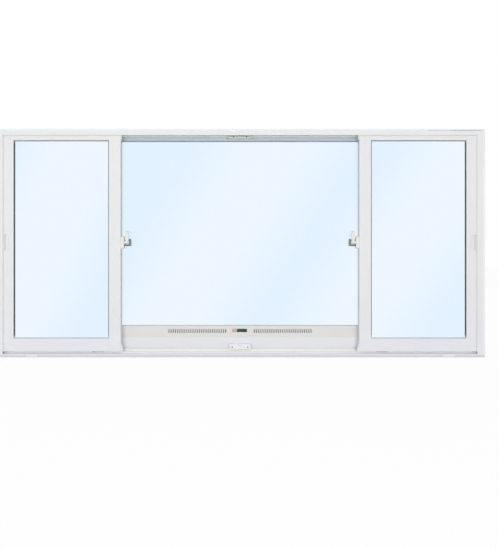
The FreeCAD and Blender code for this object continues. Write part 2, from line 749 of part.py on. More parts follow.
def sector(x_range, inner, outer, angles):
    """A ring sector about the pivot; outer holds its radius at the start and end, and may wind inwards."""
    (x0, x1), (start, end) = x_range, angles
    first, last = outer
    middle = (start + end) / 2
    mean = (first + last) / 2
    near = first - inner
    wire = Part.Wire(
        [
            Part.Arc(turned(x0, first, start), turned(x0, mean, middle), turned(x0, last, end)).toShape(),
            Part.LineSegment(turned(x0, last, end), turned(x0, last - near, end)).toShape(),
            Part.Arc(
                turned(x0, last - near, end), turned(x0, mean - near, middle), turned(x0, inner, start)
            ).toShape(),
            Part.LineSegment(turned(x0, inner, start), turned(x0, first, start)).toShape(),
        ]
    )
    return Part.Face(wire).extrude(Vector(x1 - x0, 0, 0))


def disc(radius, x_range, z=HANDLE_HEIGHT, depth=SASH_MIDDLE):
    """A round plate or pin along X, on the latch's pivot unless placed elsewhere."""
    x0, x1 = x_range
    return Part.makeCylinder(radius, x1 - x0, Vector(x0, y_at(depth), z), Vector(1, 0, 0))


def latch_base():
    """The latch's housing on the stile's side, with round ends and a tapered rim."""
    radius = LATCH_BASE_WIDTH / 2
    reach = LATCH_BASE_LENGTH / 2 - radius
    layer = (BASE_TOP, MEETING_STILE_INNER)
    block = box(
        layer, (SASH_MIDDLE - radius, SASH_MIDDLE + radius), (HANDLE_HEIGHT - reach, HANDLE_HEIGHT + reach)
    )
    ends = [disc(radius, layer, HANDLE_HEIGHT - reach), disc(radius, layer, HANDLE_HEIGHT + reach)]
    body = block.fuse(ends).removeSplitter()
    rim = [e for e in body.Edges if e.BoundBox.XMax < BASE_TOP + LATCH_TAPER]
    return body.makeChamfer(LATCH_TAPER, rim)


def latch_lever():
    """The lever: a hub whose collar meets the base, and an arm that leans to the room and has a round tip."""
    layer = (LEVER_INNER, LEVER_OUTER)
    tip_z = HANDLE_HEIGHT + LEVER_LENGTH - LEVER_TIP_RADIUS
    tip_depth = SASH_MIDDLE - LEVER_LEAN
    arm = Part.Face(
        loop(
            [
                (SASH_MIDDLE - HUB_RADIUS, HANDLE_HEIGHT),
                (tip_depth - LEVER_TIP_RADIUS, tip_z),
                (tip_depth + LEVER_TIP_RADIUS, tip_z),
                (SASH_MIDDLE + HUB_RADIUS, HANDLE_HEIGHT),
            ],
            lambda d, z: Vector(LEVER_INNER, y_at(d), z),
        )
    ).extrude(Vector(LEVER_THICK, 0, 0))
    body = arm.fuse(disc(LEVER_TIP_RADIUS, layer, tip_z, tip_depth)).removeSplitter()
    face = [
        e
        for e in body.Edges
        if e.BoundBox.XMax < LEVER_INNER + LEVER_EDGE and e.BoundBox.ZMax > HANDLE_HEIGHT + LEVER_EDGE
    ]
    hub = disc(HUB_RADIUS, (HUB_FACE, BASE_TOP))
    return body.makeChamfer(LEVER_EDGE, face).fuse(hub).removeSplitter()


def latch_cam():
    """The crescent: a web, a rim that winds inwards, a nib, a tongue under the lever and the pivot's boss."""
    web = (CAM_INNER, CAM_INNER + CAM_WEB)
    full = (CAM_INNER, CAM_OUTER)
    wound = (CAM_RADIUS, CAM_RADIUS - CAM_WIND)
    parts = [
        sector(web, CAM_BOSS_RADIUS - CAM_WIND, wound, (RIM_START, RIM_END)),
        sector(web, CAM_BOSS_RADIUS - CAM_WIND, (CAM_RADIUS, CAM_RADIUS), (RIM_END, RIM_START + 360)),
        sector(full, CAM_RADIUS - CAM_RIM, wound, (RIM_START, RIM_END)),
        sector(full, CAM_RADIUS - NIB_DEPTH, (CAM_RADIUS, CAM_RADIUS), (NIB_START, NIB_END)),
        sector(
            (CAM_OUTER, BASE_TOP - RUNNING_GAP),
            CAM_RADIUS - NIB_DEPTH,
            (CAM_RADIUS, CAM_RADIUS),
            (TONGUE_START, TONGUE_END),
        ),
    ]
    return disc(CAM_BOSS_RADIUS, full).fuse(parts).removeSplitter()


def latch_keeper():
    """The keeper: a foot on the centre stile, a leg past the base and a lip that the rim draws in."""
    leg_x1 = BASE_TOP - KEEPER_GAP
    leg = (leg_x1 - KEEPER_PLATE, leg_x1)
    lip_front = SASH_MIDDLE + HUB_RADIUS + KEEPER_CLEAR
    foot_depth = (CENTRE_FRONT - KEEPER_PLATE, CENTRE_FRONT)
    foot_z = (HANDLE_HEIGHT - KEEPER_FOOT_HEIGHT / 2, HANDLE_HEIGHT + KEEPER_FOOT_HEIGHT / 2)
    lip_z = (HANDLE_HEIGHT - KEEPER_LIP_HEIGHT / 2, HANDLE_HEIGHT + KEEPER_LIP_HEIGHT / 2)
    foot = box((leg[0], CENTRE_STILE_INNER + KEEPER_FOOT), foot_depth, foot_z)
    lip_x0 = CAM_INNER + CAM_WEB + KEEPER_CLEAR
    lip = box((lip_x0, leg[1]), (lip_front, lip_front + KEEPER_PLATE), lip_z)
    return foot.fuse([box(leg, (lip_front, CENTRE_FRONT), lip_z), lip]).removeSplitter()


# Finger pull, rollers, stops and bumpers


def pull_cup(depth_range):
    """A block with the outside of the finger pull's cup, for the cup and for the hole that takes it."""
    half_width = PULL_CUP_WIDTH / 2 + PULL_WALL
    half_height = PULL_CUP_HEIGHT / 2 + PULL_WALL
    return box(
        (PULL_X - half_width, PULL_X + half_width),
        depth_range,
        (HANDLE_HEIGHT - half_height, HANDLE_HEIGHT + half_height),
    )


def finger_pull():
    """A flanged cup let into the lock stile."""
    flange_front = SASH_FRONT - PULL_FLANGE_THICK
    cup_rear = SASH_FRONT + PULL_CUP_DEPTH
    flange = rounded_rectangle(
        PULL_X, HANDLE_HEIGHT, PULL_FLANGE_WIDTH, PULL_FLANGE_HEIGHT, PULL_CORNER, (flange_front, SASH_FRONT)
    )
    cup = pull_cup((SASH_FRONT, cup_rear))
    hollow = rounded_rectangle(
        PULL_X,
        HANDLE_HEIGHT,
        PULL_CUP_WIDTH,
        PULL_CUP_HEIGHT,
        PULL_CORNER - PULL_WALL,
        (flange_front - CUT, cup_rear - PULL_WALL),
    )
    return flange.fuse(cup).cut(hollow)


def wheel_positions():
    """The X of every wheel of the right sash."""
    return pair_of(TANDEM_X, WHEEL_SPACING) + [CORNER_WHEEL_X]


def wheel(x):
    """A plain wheel that runs on top of the rail."""
    start = Vector(x, y_at(SASH_MIDDLE - WHEEL_WIDTH / 2), AXLE_Z)
    along = Vector(0, 1, 0)
    return Part.makeCylinder(WHEEL_RADIUS, WHEEL_WIDTH, start, along).cut(
        Part.makeCylinder(AXLE_RADIUS, WHEEL_WIDTH, start, along)
    )


def roller_carriage(wheels):
    """A channel round its wheels with an axle pin through each, its cheeks on both sides of the rail."""
    inner = WHEEL_WIDTH / 2 + RUNNING_GAP
    outer = inner + CARRIAGE_WALL
    x_range = (min(wheels) - WHEEL_RADIUS - CARRIAGE_END, max(wheels) + WHEEL_RADIUS + CARRIAGE_END)
    channel = rail(
        [
            (SASH_MIDDLE - outer, CARRIAGE_FOOT),
            (SASH_MIDDLE - outer, CARRIAGE_TOP),
            (SASH_MIDDLE + outer, CARRIAGE_TOP),
            (SASH_MIDDLE + outer, CARRIAGE_FOOT),
            (SASH_MIDDLE + inner, CARRIAGE_FOOT),
            (SASH_MIDDLE + inner, CARRIAGE_TOP - CARRIAGE_WALL),
            (SASH_MIDDLE - inner, CARRIAGE_TOP - CARRIAGE_WALL),
            (SASH_MIDDLE - inner, CARRIAGE_FOOT),
        ],
        [],
        x_range,
    )
    starts = [Vector(x, y_at(SASH_MIDDLE - inner), AXLE_Z) for x in wheels]
    axles = [Part.makeCylinder(AXLE_RADIUS, 2 * inner, start, Vector(0, 1, 0)) for start in starts]
    return channel.fuse(axles)


def corner_carriage():
    """The lock stile's own one-wheel carriage, with wings that sit on the walls inside the stile."""
    wings = box(
        (CORNER_WHEEL_X - WHEEL_RADIUS, CORNER_WHEEL_X + WHEEL_RADIUS),
        (SASH_FRONT + REBATE_DEPTH + SASH_WALL, SASH_REAR - SASH_WALL),
        (CARRIAGE_TOP - CARRIAGE_WALL, CARRIAGE_TOP),
    )
    return roller_carriage([CORNER_WHEEL_X]).fuse(wings).removeSplitter()


def bumper():
    """The flared end piece at the foot of the meeting stile, and the small one at its head."""
    x = MEETING_STILE_INNER
    low = [
        (x, SASH_FOOT),
        (x - BUMPER_REACH, SASH_FOOT),
        (x - BUMPER_REACH, SASH_FOOT + BUMPER_PLATEAU),
        (x - BUMPER_SEAT, SASH_FOOT + BUMPER_HEIGHT),
        (x, SASH_FOOT + BUMPER_HEIGHT),
    ]
    top = BODY_TOP - GUIDE_DROP - GUIDE_GAP / 2
    foot = top - BUMPER_TOP_HEIGHT
    high = [
        (x, foot),
        (x - BUMPER_SEAT, foot),
        (x - BUMPER_TOP_REACH, foot + BUMPER_PLATEAU),
        (x - BUMPER_TOP_REACH, top),
        (x, top),
    ]
    solids = []
    for outline in (low, high):
        face = Part.Face(loop(outline, lambda px, pz: Vector(px, y_at(SASH_FRONT + BUMPER_SIDE), pz)))
        solids.append(face.extrude(Vector(0, SASH_THICK - 2 * BUMPER_SIDE, 0)))
    return Part.makeCompound(solids)


def bottom_stop():
    """The sash stop on the sill's shelf: a block with a rolled top edge and a dimple in its face."""
    half = BOTTOM_STOP_LENGTH / 2
    top = SHELF_TOP + BOTTOM_STOP_HEIGHT
    outline = [
        (STOP_FACE, SHELF_TOP, STOP_EASE),
        (STOP_FACE, top - STOP_LIP_HEIGHT),
        (STOP_FACE - STOP_LIP, top - STOP_LIP_HEIGHT),
        (STOP_FACE - STOP_LIP, top, STOP_EASE),
        (CENTRE_FRONT, top),
        (CENTRE_FRONT, PLATFORM_TOP),
        (PLATFORM_DEPTH, PLATFORM_TOP),
        (PLATFORM_DEPTH, SHELF_TOP),
    ]
    dimple = box(
        (-DIMPLE_LENGTH / 2, DIMPLE_LENGTH / 2),
        (STOP_FACE - CUT, STOP_FACE + DIMPLE_DEPTH),
        (SHELF_TOP + DIMPLE_RISE, SHELF_TOP + DIMPLE_RISE + DIMPLE_HEIGHT),
    )
    return rail(outline, [], (-half, half)).cut(dimple)


def top_stop():
    """The sash stop under the head's box, against the centre light's top rail, with a lip along its foot."""
    half = TOP_STOP_LENGTH / 2
    foot = HEAD_BOX_FOOT - TOP_STOP_DROP
    outline = [
        (STOP_FACE, HEAD_BOX_FOOT),
        (STOP_FACE, foot + STOP_LIP_HEIGHT),
        (STOP_FACE - STOP_LIP, foot + STOP_LIP_HEIGHT),
        (STOP_FACE - STOP_LIP, foot, STOP_EASE),
        (CENTRE_FRONT, foot),
        (CENTRE_FRONT, HEAD_BOX_FOOT),
    ]
    return rail(outline, [], (-half, half))


# All pieces


def sash_pieces():
    """Every piece of the right sash by name."""
    x_range = (MEETING_OUTER, LOCK_STILE_INNER)
    z_range = (SASH_GLASS_FOOT, SASH_GLASS_TOP)
    lips = (SASH_LIP_MEETING, SASH_LIP_LOCK, SASH_LIP_BOTTOM, SASH_LIP_TOP)
    wheels = wheel_positions()
    return {
        "lock_stile": lock_stile(),
        "meeting_stile": meeting_stile(),
        "top_rail": sash_rail(SASH_GLASS_TOP, SASH_TOP, TOP_POCKET),
        "bottom_rail": sash_rail(SASH_GLASS_FOOT, SASH_FOOT, BOTTOM_POCKET),
        "glass": pane(x_range, z_range, SASH_MIDDLE, SASH_GLASS),
        "gaskets": gaskets(x_range, z_range, SASH_MIDDLE, SASH_GLASS, lips),
        "finger_pull": finger_pull(),
        "roller_carriages": Part.makeCompound([roller_carriage(wheels[:2]), corner_carriage()]),
        "roller_wheels": Part.makeCompound([wheel(x) for x in wheels]),
        "bumpers": bumper(),
        "latch_base": latch_base(),
        "latch_lever": latch_lever(),
        "latch_cam": latch_cam(),
        "latch_keeper": latch_keeper(),
    }


def centre_pieces():
    """Every piece of the fixed centre light by name."""
    x_range = (-CENTRE_STILE_INNER, CENTRE_STILE_INNER)
    z_range = (VENT_TOP, CENTRE_TOP_RAIL_FOOT)
    lips = (CENTRE_LIP_SIDE, CENTRE_LIP_SIDE, 0, CENTRE_LIP_TOP)
    return {
        "centre_right_stile": centre_stile(),
        "centre_left_stile": mirrored(centre_stile()),
        "centre_top_rail": centre_rail(CENTRE_TOP_RAIL_FOOT, CENTRE_TOP),
        "centre_bottom_rail": centre_rail(CENTRE_RAIL_TOP, PLATFORM_TOP),
        "centre_glass": pane(x_range, z_range, CENTRE_MIDDLE, CENTRE_GLASS),
        "centre_gaskets": gaskets(x_range, z_range, CENTRE_MIDDLE, CENTRE_GLASS, lips),
        "vent_body": vent_body(),
        "vent_grille": vent_grille(),
        "vent_end_caps": both_sides(vent_end_cap()),
    }


def frame_pieces():
    """Every piece of the outer frame by name."""
    return {
        "head_frame": head(),
        "sill_frame": sill(),
        "right_jamb": jamb(),
        "left_jamb": mirrored(jamb()),
        "rail_cap": rail_cap(),
        "head_seal_strip": head_seal_strip(),
        "drain_covers": both_sides(drain_cover()),
        "bottom_stop": bottom_stop(),
        "top_stop": top_stop(),
    }


def main():
    """Write one STEP file for each piece."""
    os.makedirs("parts", exist_ok=True)
    pieces = dict(frame_pieces())
    pieces.update(centre_pieces())
    for name, shape in sash_pieces().items():
        pieces["right_" + name] = shape
        pieces["left_" + name] = mirrored(shape)
    for name, shape in pieces.items():
        shape.exportStep(os.path.join("parts", name + ".step"))


main()
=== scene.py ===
import logging
import math
from dataclasses import dataclass
from enum import Enum
from typing import Callable, Sequence

import bpy
from mathutils import Matrix, Vector


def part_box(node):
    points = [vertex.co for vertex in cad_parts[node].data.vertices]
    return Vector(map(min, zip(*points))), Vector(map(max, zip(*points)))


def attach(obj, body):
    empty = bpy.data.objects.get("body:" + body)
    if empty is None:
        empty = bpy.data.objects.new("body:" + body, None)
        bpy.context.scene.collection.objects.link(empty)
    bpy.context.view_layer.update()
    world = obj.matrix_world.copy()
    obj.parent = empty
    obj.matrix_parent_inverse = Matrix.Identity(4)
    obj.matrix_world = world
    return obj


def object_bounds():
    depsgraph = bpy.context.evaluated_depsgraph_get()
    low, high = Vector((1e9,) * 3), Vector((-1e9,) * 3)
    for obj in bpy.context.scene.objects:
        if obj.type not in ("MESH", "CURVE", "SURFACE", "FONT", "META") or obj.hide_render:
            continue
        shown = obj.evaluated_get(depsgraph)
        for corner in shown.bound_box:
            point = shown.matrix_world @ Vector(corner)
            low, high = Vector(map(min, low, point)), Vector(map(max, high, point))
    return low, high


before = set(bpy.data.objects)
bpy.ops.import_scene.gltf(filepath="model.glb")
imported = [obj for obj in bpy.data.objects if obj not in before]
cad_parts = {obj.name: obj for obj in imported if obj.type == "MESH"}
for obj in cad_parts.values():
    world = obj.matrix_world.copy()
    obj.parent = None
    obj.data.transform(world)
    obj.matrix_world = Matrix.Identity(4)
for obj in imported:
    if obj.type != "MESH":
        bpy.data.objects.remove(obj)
CAD_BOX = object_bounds()

LOG = logging.getLogger("window")
BODY = "root"
BLACK = (0.0, 0.0, 0.0)
ROOM = (0.0, -1.0, 0.0)
SHARP_ANGLE = math.radians(40)
SMOOTH_ANGLE = math.radians(35)
PLATE_EASE = 0.4

# Places of the colours among the mix node's sockets
MIX_LOW = 6
MIX_HIGH = 7
MIX_RESULT = 2

Colour = tuple[float, float, float]
Point = tuple[float, float, float]
Span = tuple[float, float]
Node = bpy.types.Node
Socket = bpy.types.NodeSocket


def srgb(red: float, green: float, blue: float) -> Colour:
    """Turn a display colour of 0 to 255 into the linear colour that a shader takes.

    Args:
        red: Red level.
        green: Green level.
        blue: Blue level.

    Returns:
        The linear colour.
    """
    levels = []
    for level in (red, green, blue):
        share = level / 255.0
        levels.append(share / 12.92 if share <= 0.04045 else ((share + 0.055) / 1.055) ** 2.4)
    return levels[0], levels[1], levels[2]


class Hand(Enum):
    """The side of the window that a piece belongs to."""

    LEFT = -1
    RIGHT = 1

    @property
    def word(self) -> str:
        """Give the side's word as node names use it."""
        return self.name.lower()


class Wear(Enum):
    """How much the surface of a finish has aged, as a share of its colour."""

    NEW = 0.01
    HANDLED = 0.025


# Node sheets and shared effects


class NodeSheet:
    """A node tree with short calls to add and join its nodes."""

    def __init__(self, tree: bpy.types.NodeTree) -> None:
        """Take over a tree."""
        self.tree = tree

    def add(self, kind: str, **settings: object) -> Node:
        """Add a node.

        Args:
            kind: The node's type name.
            settings: Properties of the node.

        Returns:
            The new node.
        """
        node = self.tree.nodes.new(kind)
        for name, value in settings.items():
            setattr(node, name, value)
        return node

    def join(self, source: Socket, target: Socket) -> None:
        """Link one socket to another."""
        self.tree.links.new(source, target)

    def fill(self, target: Socket, value: object) -> None:
        """Link a socket to another one, or write a value into it.

        Args:
            target: The socket that takes the value.
            value: A socket, a number or a colour.
        """
        if isinstance(value, Socket):
            self.join(value, target)
        elif isinstance(value, tuple):
            target.default_value = (*value, 1.0)
        else:
            target.default_value = value

    def maths(self, operation: str, first: object, second: object = 0.0, clamp: bool = False) -> Socket:
        """Add a maths node.

        Args:
            operation: The operation's name.
            first: A socket or a number.
            second: A socket or a number.
            clamp: Whether the result stays between 0 and 1.

        Returns:
            The result's socket.
        """
        node = self.add("ShaderNodeMath", operation=operation, use_clamp=clamp)
        self.fill(node.inputs[0], first)
        self.fill(node.inputs[1], second)
        return node.outputs[0]

    def blend(self, share: object, low: object, high: object) -> Socket:
        """Mix two colours.

        Args:
            share: A socket or number, 0 for the first colour and 1 for the second.
            low: A socket or colour.
            high: A socket or colour.

        Returns:
            The mixed colour's socket.
        """
        node = self.add("ShaderNodeMix", data_type="RGBA")
        self.fill(node.inputs[0], share)
        self.fill(node.inputs[MIX_LOW], low)
        self.fill(node.inputs[MIX_HIGH], high)
        return node.outputs[MIX_RESULT]

    def axis(self, vector: Socket, name: str) -> Socket:
        """Take one part of a vector.

        Args:
            vector: The vector's socket.
            name: X, Y or Z.

        Returns:
            The part's socket.
        """
        node = self.add("ShaderNodeSeparateXYZ")
        self.join(vector, node.inputs[0])
        return node.outputs[name]

    def from_middle(self, place: Socket) -> Socket:
        """Give how far a point lies to the side of the window's middle."""
        return self.maths("ABSOLUTE", self.axis(place, "X"))

    def noise(self, vector: Socket, scale: object, detail: float = 2.0) -> Socket:
        """Add a noise of 0 to 1.

        Args:
            vector: The coordinates that it reads.
            scale: How many grains fall on a metre, as a socket or a number.
            detail: How many finer layers it has.

        Returns:
            The noise's value socket.
        """
        node = self.add("ShaderNodeTexNoise")
        node.inputs["Detail"].default_value = detail
        self.fill(node.inputs["Scale"], scale)
        self.join(vector, node.inputs["Vector"])
        return node.outputs["Fac"]


def effect_group(
    name: str, inputs: dict[str, float | None], outputs: Sequence[str]
) -> tuple[NodeSheet, Node, Node]:
    """Start a shared effect as a shader node group.

    Args:
        name: The group's name.
        inputs: Name and starting value of each input; one without a value is a vector.
        outputs: Name of each output, all of them numbers.

    Returns:
        The group's sheet, its input node and its output node.
    """
    tree = bpy.data.node_groups.new(name, "ShaderNodeTree")
    for label, start in inputs.items():
        kind = "NodeSocketVector" if start is None else "NodeSocketFloat"
        socket = tree.interface.new_socket(label, in_out="INPUT", socket_type=kind)
        if start is not None:
            socket.default_value = start
    for label in outputs:
        tree.interface.new_socket(label, in_out="OUTPUT", socket_type="NodeSocketFloat")
    sheet = NodeSheet(tree)
    return sheet, sheet.add("NodeGroupInput"), sheet.add("NodeGroupOutput")


def build_coat_group() -> bpy.types.NodeTree:
    """Build the sprayed coat effect: cloudy tone, faint dust on what faces up, and a fine orange peel.

    Returns:
        The node group, with outputs Tone, Dust and Peel.
    """
    inputs = {"Vector": None, "Cloud": 6.0, "Grain": 900.0}
    sheet, taken, given = effect_group("sprayed_coat", inputs, ["Tone", "Dust", "Peel"])
    cloud = sheet.noise(taken.outputs["Vector"], taken.outputs["Cloud"], detail=4.0)
    peel = sheet.noise(taken.outputs["Vector"], taken.outputs["Grain"], detail=1.0)
    facing = sheet.add("ShaderNodeNewGeometry")
    upward = sheet.maths("MAXIMUM", sheet.axis(facing.outputs["Normal"], "Z"), 0.0)
    sheet.join(cloud, given.inputs["Tone"])
    sheet.join(peel, given.inputs["Peel"])
    sheet.join(sheet.maths("MULTIPLY", upward, cloud, clamp=True), given.inputs["Dust"])
    return sheet.tree


def build_streak_group() -> bpy.types.NodeTree:
    """Build the drawn metal effect: fine lines along the piece, in tone and relief.

    Returns:
        The node group, with outputs Line and Relief.
    """
    stretch = 0.02
    relief_share = 0.5
    inputs = {"Vector": None, "Fineness": 700.0}
    sheet, taken, given = effect_group("drawn_lines", inputs, ["Line", "Relief"])
    squeeze = sheet.add("ShaderNodeMapping")
    squeeze.inputs["Scale"].default_value = (stretch, 1.0, 1.0)
    sheet.join(taken.outputs["Vector"], squeeze.inputs["Vector"])
    lines = sheet.noise(squeeze.outputs["Vector"], taken.outputs["Fineness"], detail=3.0)
    sheet.join(lines, given.inputs["Line"])
    sheet.join(sheet.maths("MULTIPLY", lines, relief_share), given.inputs["Relief"])
    return sheet.tree


def build_sheen_group() -> bpy.types.NodeTree:
    """Build the painted reflection: a slanting band of lighter tint that lies across a pane.

    Returns:
        The node group, with output Band from 0 outside the band to 1 in it.
    """
    inputs = {"Vector": None, "Slope": 1.0, "Width": 0.3, "Softness": 0.3}
    sheet, taken, given = effect_group("painted_reflection_band", inputs, ["Band"])
    across = sheet.axis(taken.outputs["Vector"], "X")
    height = sheet.axis(taken.outputs["Vector"], "Z")
    along = sheet.maths("MULTIPLY", across, taken.outputs["Slope"])
    away = sheet.maths("ABSOLUTE", sheet.maths("SUBTRACT", height, along))
    past = sheet.maths("SUBTRACT", away, taken.outputs["Width"])
    share = sheet.maths("DIVIDE", past, taken.outputs["Softness"], clamp=True)
    sheet.join(sheet.maths("SUBTRACT", 1.0, share), given.inputs["Band"])
    return sheet.tree


def build_zone_group() -> bpy.types.NodeTree:
    """Build the mask that fades along one direction of the window.

    Returns:
        The node group, with output Share from 0 before the start to 1 past the end.
    """
    inputs = {"Value": 0.0, "Start": 0.0, "End": 1.0}
    sheet, taken, given = effect_group("fading_zone", inputs, ["Share"])
    gone = sheet.maths("SUBTRACT", taken.outputs["Value"], taken.outputs["Start"])
    length = sheet.maths("SUBTRACT", taken.outputs["End"], taken.outputs["Start"])
    sheet.join(sheet.maths("DIVIDE", gone, length, clamp=True), given.inputs["Share"])
    return sheet.tree


class Effects:
    """The shared effects, each built once."""

    _built: dict[str, bpy.types.NodeTree] = {}

    @classmethod
    def place(cls, sheet: NodeSheet, build: Callable[[], bpy.types.NodeTree], **values: float) -> Node:
        """Place an effect in a material.

        Args:
            sheet: The material's sheet.
            build: The function that builds the effect.
            values: Values of its named inputs.

        Returns:
            The group node.
        """
        if build.__name__ not in cls._built:
            cls._built[build.__name__] = build()
        node = sheet.add("ShaderNodeGroup", node_tree=cls._built[build.__name__])
        for name, value in values.items():
            node.inputs[name].default_value = value
        return node

    @classmethod
    def zone(cls, sheet: NodeSheet, value: Socket, span: Span) -> Socket:
        """Place a mask that fades from 0 to 1 over a span.

        Args:
            sheet: The material's sheet.
            value: The coordinate's socket.
            span: Where the fade starts and ends; the end may lie below the start.

        Returns:
            The share's socket.
        """
        node = cls.place(sheet, build_zone_group, Start=span[0], End=span[1])
        sheet.join(value, node.inputs["Value"])
        return node.outputs["Share"]

    @classmethod
    def tint(cls, sheet: NodeSheet, low: object, high: object, value: Socket, span: Span) -> Socket:
        """Fade from one colour to another over a span.

        Args:
            sheet: The material's sheet.
            low: The colour before the span, as a socket or a colour.
            high: The colour past the span, as a socket or a colour.
            value: The coordinate's socket.
            span: Where the fade starts and ends.

        Returns:
            The colour's socket.
        """
        return sheet.blend(cls.zone(sheet, value, span), low, high)


# Finishes


@dataclass(frozen=True)
class Finish:
    """What every finish has: a name, a colour, a roughness, its wear and how strongly it mirrors."""

    name: str
    colour: Colour
    roughness: float = 0.4
    wear: Wear = Wear.NEW
    mirror: float = 0.5

    def material(self) -> bpy.types.Material:
        """Build the finish's material, or take the one built before.

        Returns:
            The material.
        """
        found = bpy.data.materials.get("look_" + self.name)
        if found:
            return found
        made = bpy.data.materials.new("look_" + self.name)
        made.use_nodes = True
        made.node_tree.nodes.clear()
        sheet = NodeSheet(made.node_tree)
        shader = sheet.add("ShaderNodeBsdfPrincipled")
        shader.inputs["Base Color"].default_value = (*self.colour, 1.0)
        shader.inputs["Roughness"].default_value = self.roughness
        shader.inputs["Specular IOR Level"].default_value = self.mirror
        place = sheet.add("ShaderNodeTexCoord").outputs["Object"]
        self.dress(sheet, shader, place)
        output = sheet.add("ShaderNodeOutputMaterial")
        sheet.join(shader.outputs["BSDF"], output.inputs["Surface"])
        return made

    def dress(self, sheet: NodeSheet, shader: Node, place: Socket) -> None:
        """Write what is special to the finish; the plain one has nothing."""

    def bump(self, sheet: NodeSheet, shader: Node, height: Socket, depth: float) -> None:
        """Join a height to the shader's normal.

        Args:
            sheet: The material's sheet.
            shader: The shader node.
            height: The height's socket.
            depth: How deep the relief is, in metres.
        """
        node = sheet.add("ShaderNodeBump")
        node.inputs["Distance"].default_value = depth
        node.inputs["Strength"].default_value = 1.0
        sheet.join(height, node.inputs["Height"])
        sheet.join(node.outputs["Normal"], shader.inputs["Normal"])

    def shade(self, share: float) -> Colour:
        """Give the finish's colour darkened by a share."""
        red, green, blue = self.colour
        return red * (1 - share), green * (1 - share), blue * (1 - share)

    def clouded(self, sheet: NodeSheet, place: Socket, cloud: float) -> Socket:
        """Give the finish's colour with a cloud as strong as its wear.

        Args:
            sheet: The material's sheet.
            place: Object coordinates.
            cloud: How many clouds fall on a metre.

        Returns:
            The colour's socket.
        """
        return sheet.blend(sheet.noise(place, cloud), self.shade(self.wear.value), self.colour)


@dataclass(frozen=True)
class PowderCoat(Finish):
    """A satin white coat with a little cloud, dust on upward faces, a fine peel and a painted cool shade
    toward the bottom.
    """

    mirror: float = 0.4
    # Painted shade: a cooler tint toward the bottom, standing in for how the light falls on the lower
    # parts.
    painted_low_shade: Colour = srgb(236, 237, 243)
    painted_low_shade_span: Span = (0.3, 0.05)
    dust: Colour = srgb(196, 192, 186)
    dusting: float = 0.25
    cloud: float = 5.0
    grain: float = 1100.0
    gloss_spread: float = 0.12
    peel: float = 0.00002

    def dress(self, sheet: NodeSheet, shader: Node, place: Socket) -> None:
        """Write the coat's tone, its painted cool shade toward the foot, dust, gloss and peel.

        Args:
            sheet: The material's sheet.
            shader: The shader node.
            place: Object coordinates.
        """
        coat = Effects.place(sheet, build_coat_group, Cloud=self.cloud, Grain=self.grain)
        sheet.join(place, coat.inputs["Vector"])
        height = sheet.axis(place, "Z")
        # Painted shade: cooler toward the bottom.
        plain = Effects.tint(sheet, self.colour, self.painted_low_shade, height, self.painted_low_shade_span)
        worn = sheet.blend(self.wear.value, plain, BLACK)
        toned = sheet.blend(coat.outputs["Tone"], worn, plain)
        share = sheet.maths("MULTIPLY", coat.outputs["Dust"], self.dusting, clamp=True)
        marked = self.marked(sheet, place, toned, height)
        sheet.join(sheet.blend(share, marked, self.dust), shader.inputs["Base Color"])
        uneven = sheet.maths("MULTIPLY", coat.outputs["Tone"], self.gloss_spread)
        gloss = sheet.maths("ADD", uneven, self.roughness - self.gloss_spread / 2)
        sheet.join(gloss, shader.inputs["Roughness"])
        self.bump(sheet, shader, coat.outputs["Peel"], self.peel)

    def marked(self, sheet: NodeSheet, place: Socket, toned: Socket, height: Socket) -> Socket:
        """Give the colour with the marks of one kind of coat; the plain one has none."""
        return toned


@dataclass(frozen=True)
class StileCoat(PowderCoat):
    """The lock stile's coat, with painted light on the stepped edge that stays behind the jamb's lip, where
    shade falls.
    """

    # Painted light: the near-white stepped edge takes out the shade in the slit behind the jamb's lip.
    painted_light: Colour = srgb(252, 252, 252)
    painted_light_span: Span = (1.3028, 1.3034)

    def marked(self, sheet: NodeSheet, place: Socket, toned: Socket, height: Socket) -> Socket:
        """Give the colour with the painted light on the stepped edge."""
        # Painted light on the stepped edge.
        return Effects.tint(sheet, toned, self.painted_light, sheet.from_middle(place), self.painted_light_span)


@dataclass(frozen=True)
class DuctCoat(PowderCoat):
    """The ventilator's body: dull and warm inside, darker and cooler at its foot, with painted light that
    makes its top under the pane and its back white.
    """

    cool: Colour = srgb(158, 177, 190)
    cool_span: Span = (0.14, 0.136)
    # Painted light: the top under the pane and the back are made white to lift the shade that falls there.
    painted_light_white: Colour = srgb(242, 246, 250)
    painted_light_white_span: Span = (0.158, 0.162)
    skin: float = 0.001

    def marked(self, sheet: NodeSheet, place: Socket, toned: Socket, height: Socket) -> Socket:
        """Write the darker, cooler foot, and the painted light on the top and the back.

        Args:
            sheet: The material's sheet.
            place: Object coordinates.
            toned: The coat's colour.
            height: The height's socket.

        Returns:
            The marked colour.
        """
        cooled = Effects.tint(sheet, toned, self.cool, height, self.cool_span)
        # Painted light on the top, and below on the back.
        topped = Effects.tint(sheet, cooled, self.painted_light_white, height, self.painted_light_white_span)
        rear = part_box("vent_body")[1][1]
        skin_span = (rear - self.skin, rear - self.skin / 2)
        return Effects.tint(sheet, topped, self.painted_light_white, sheet.axis(place, "Y"), skin_span)


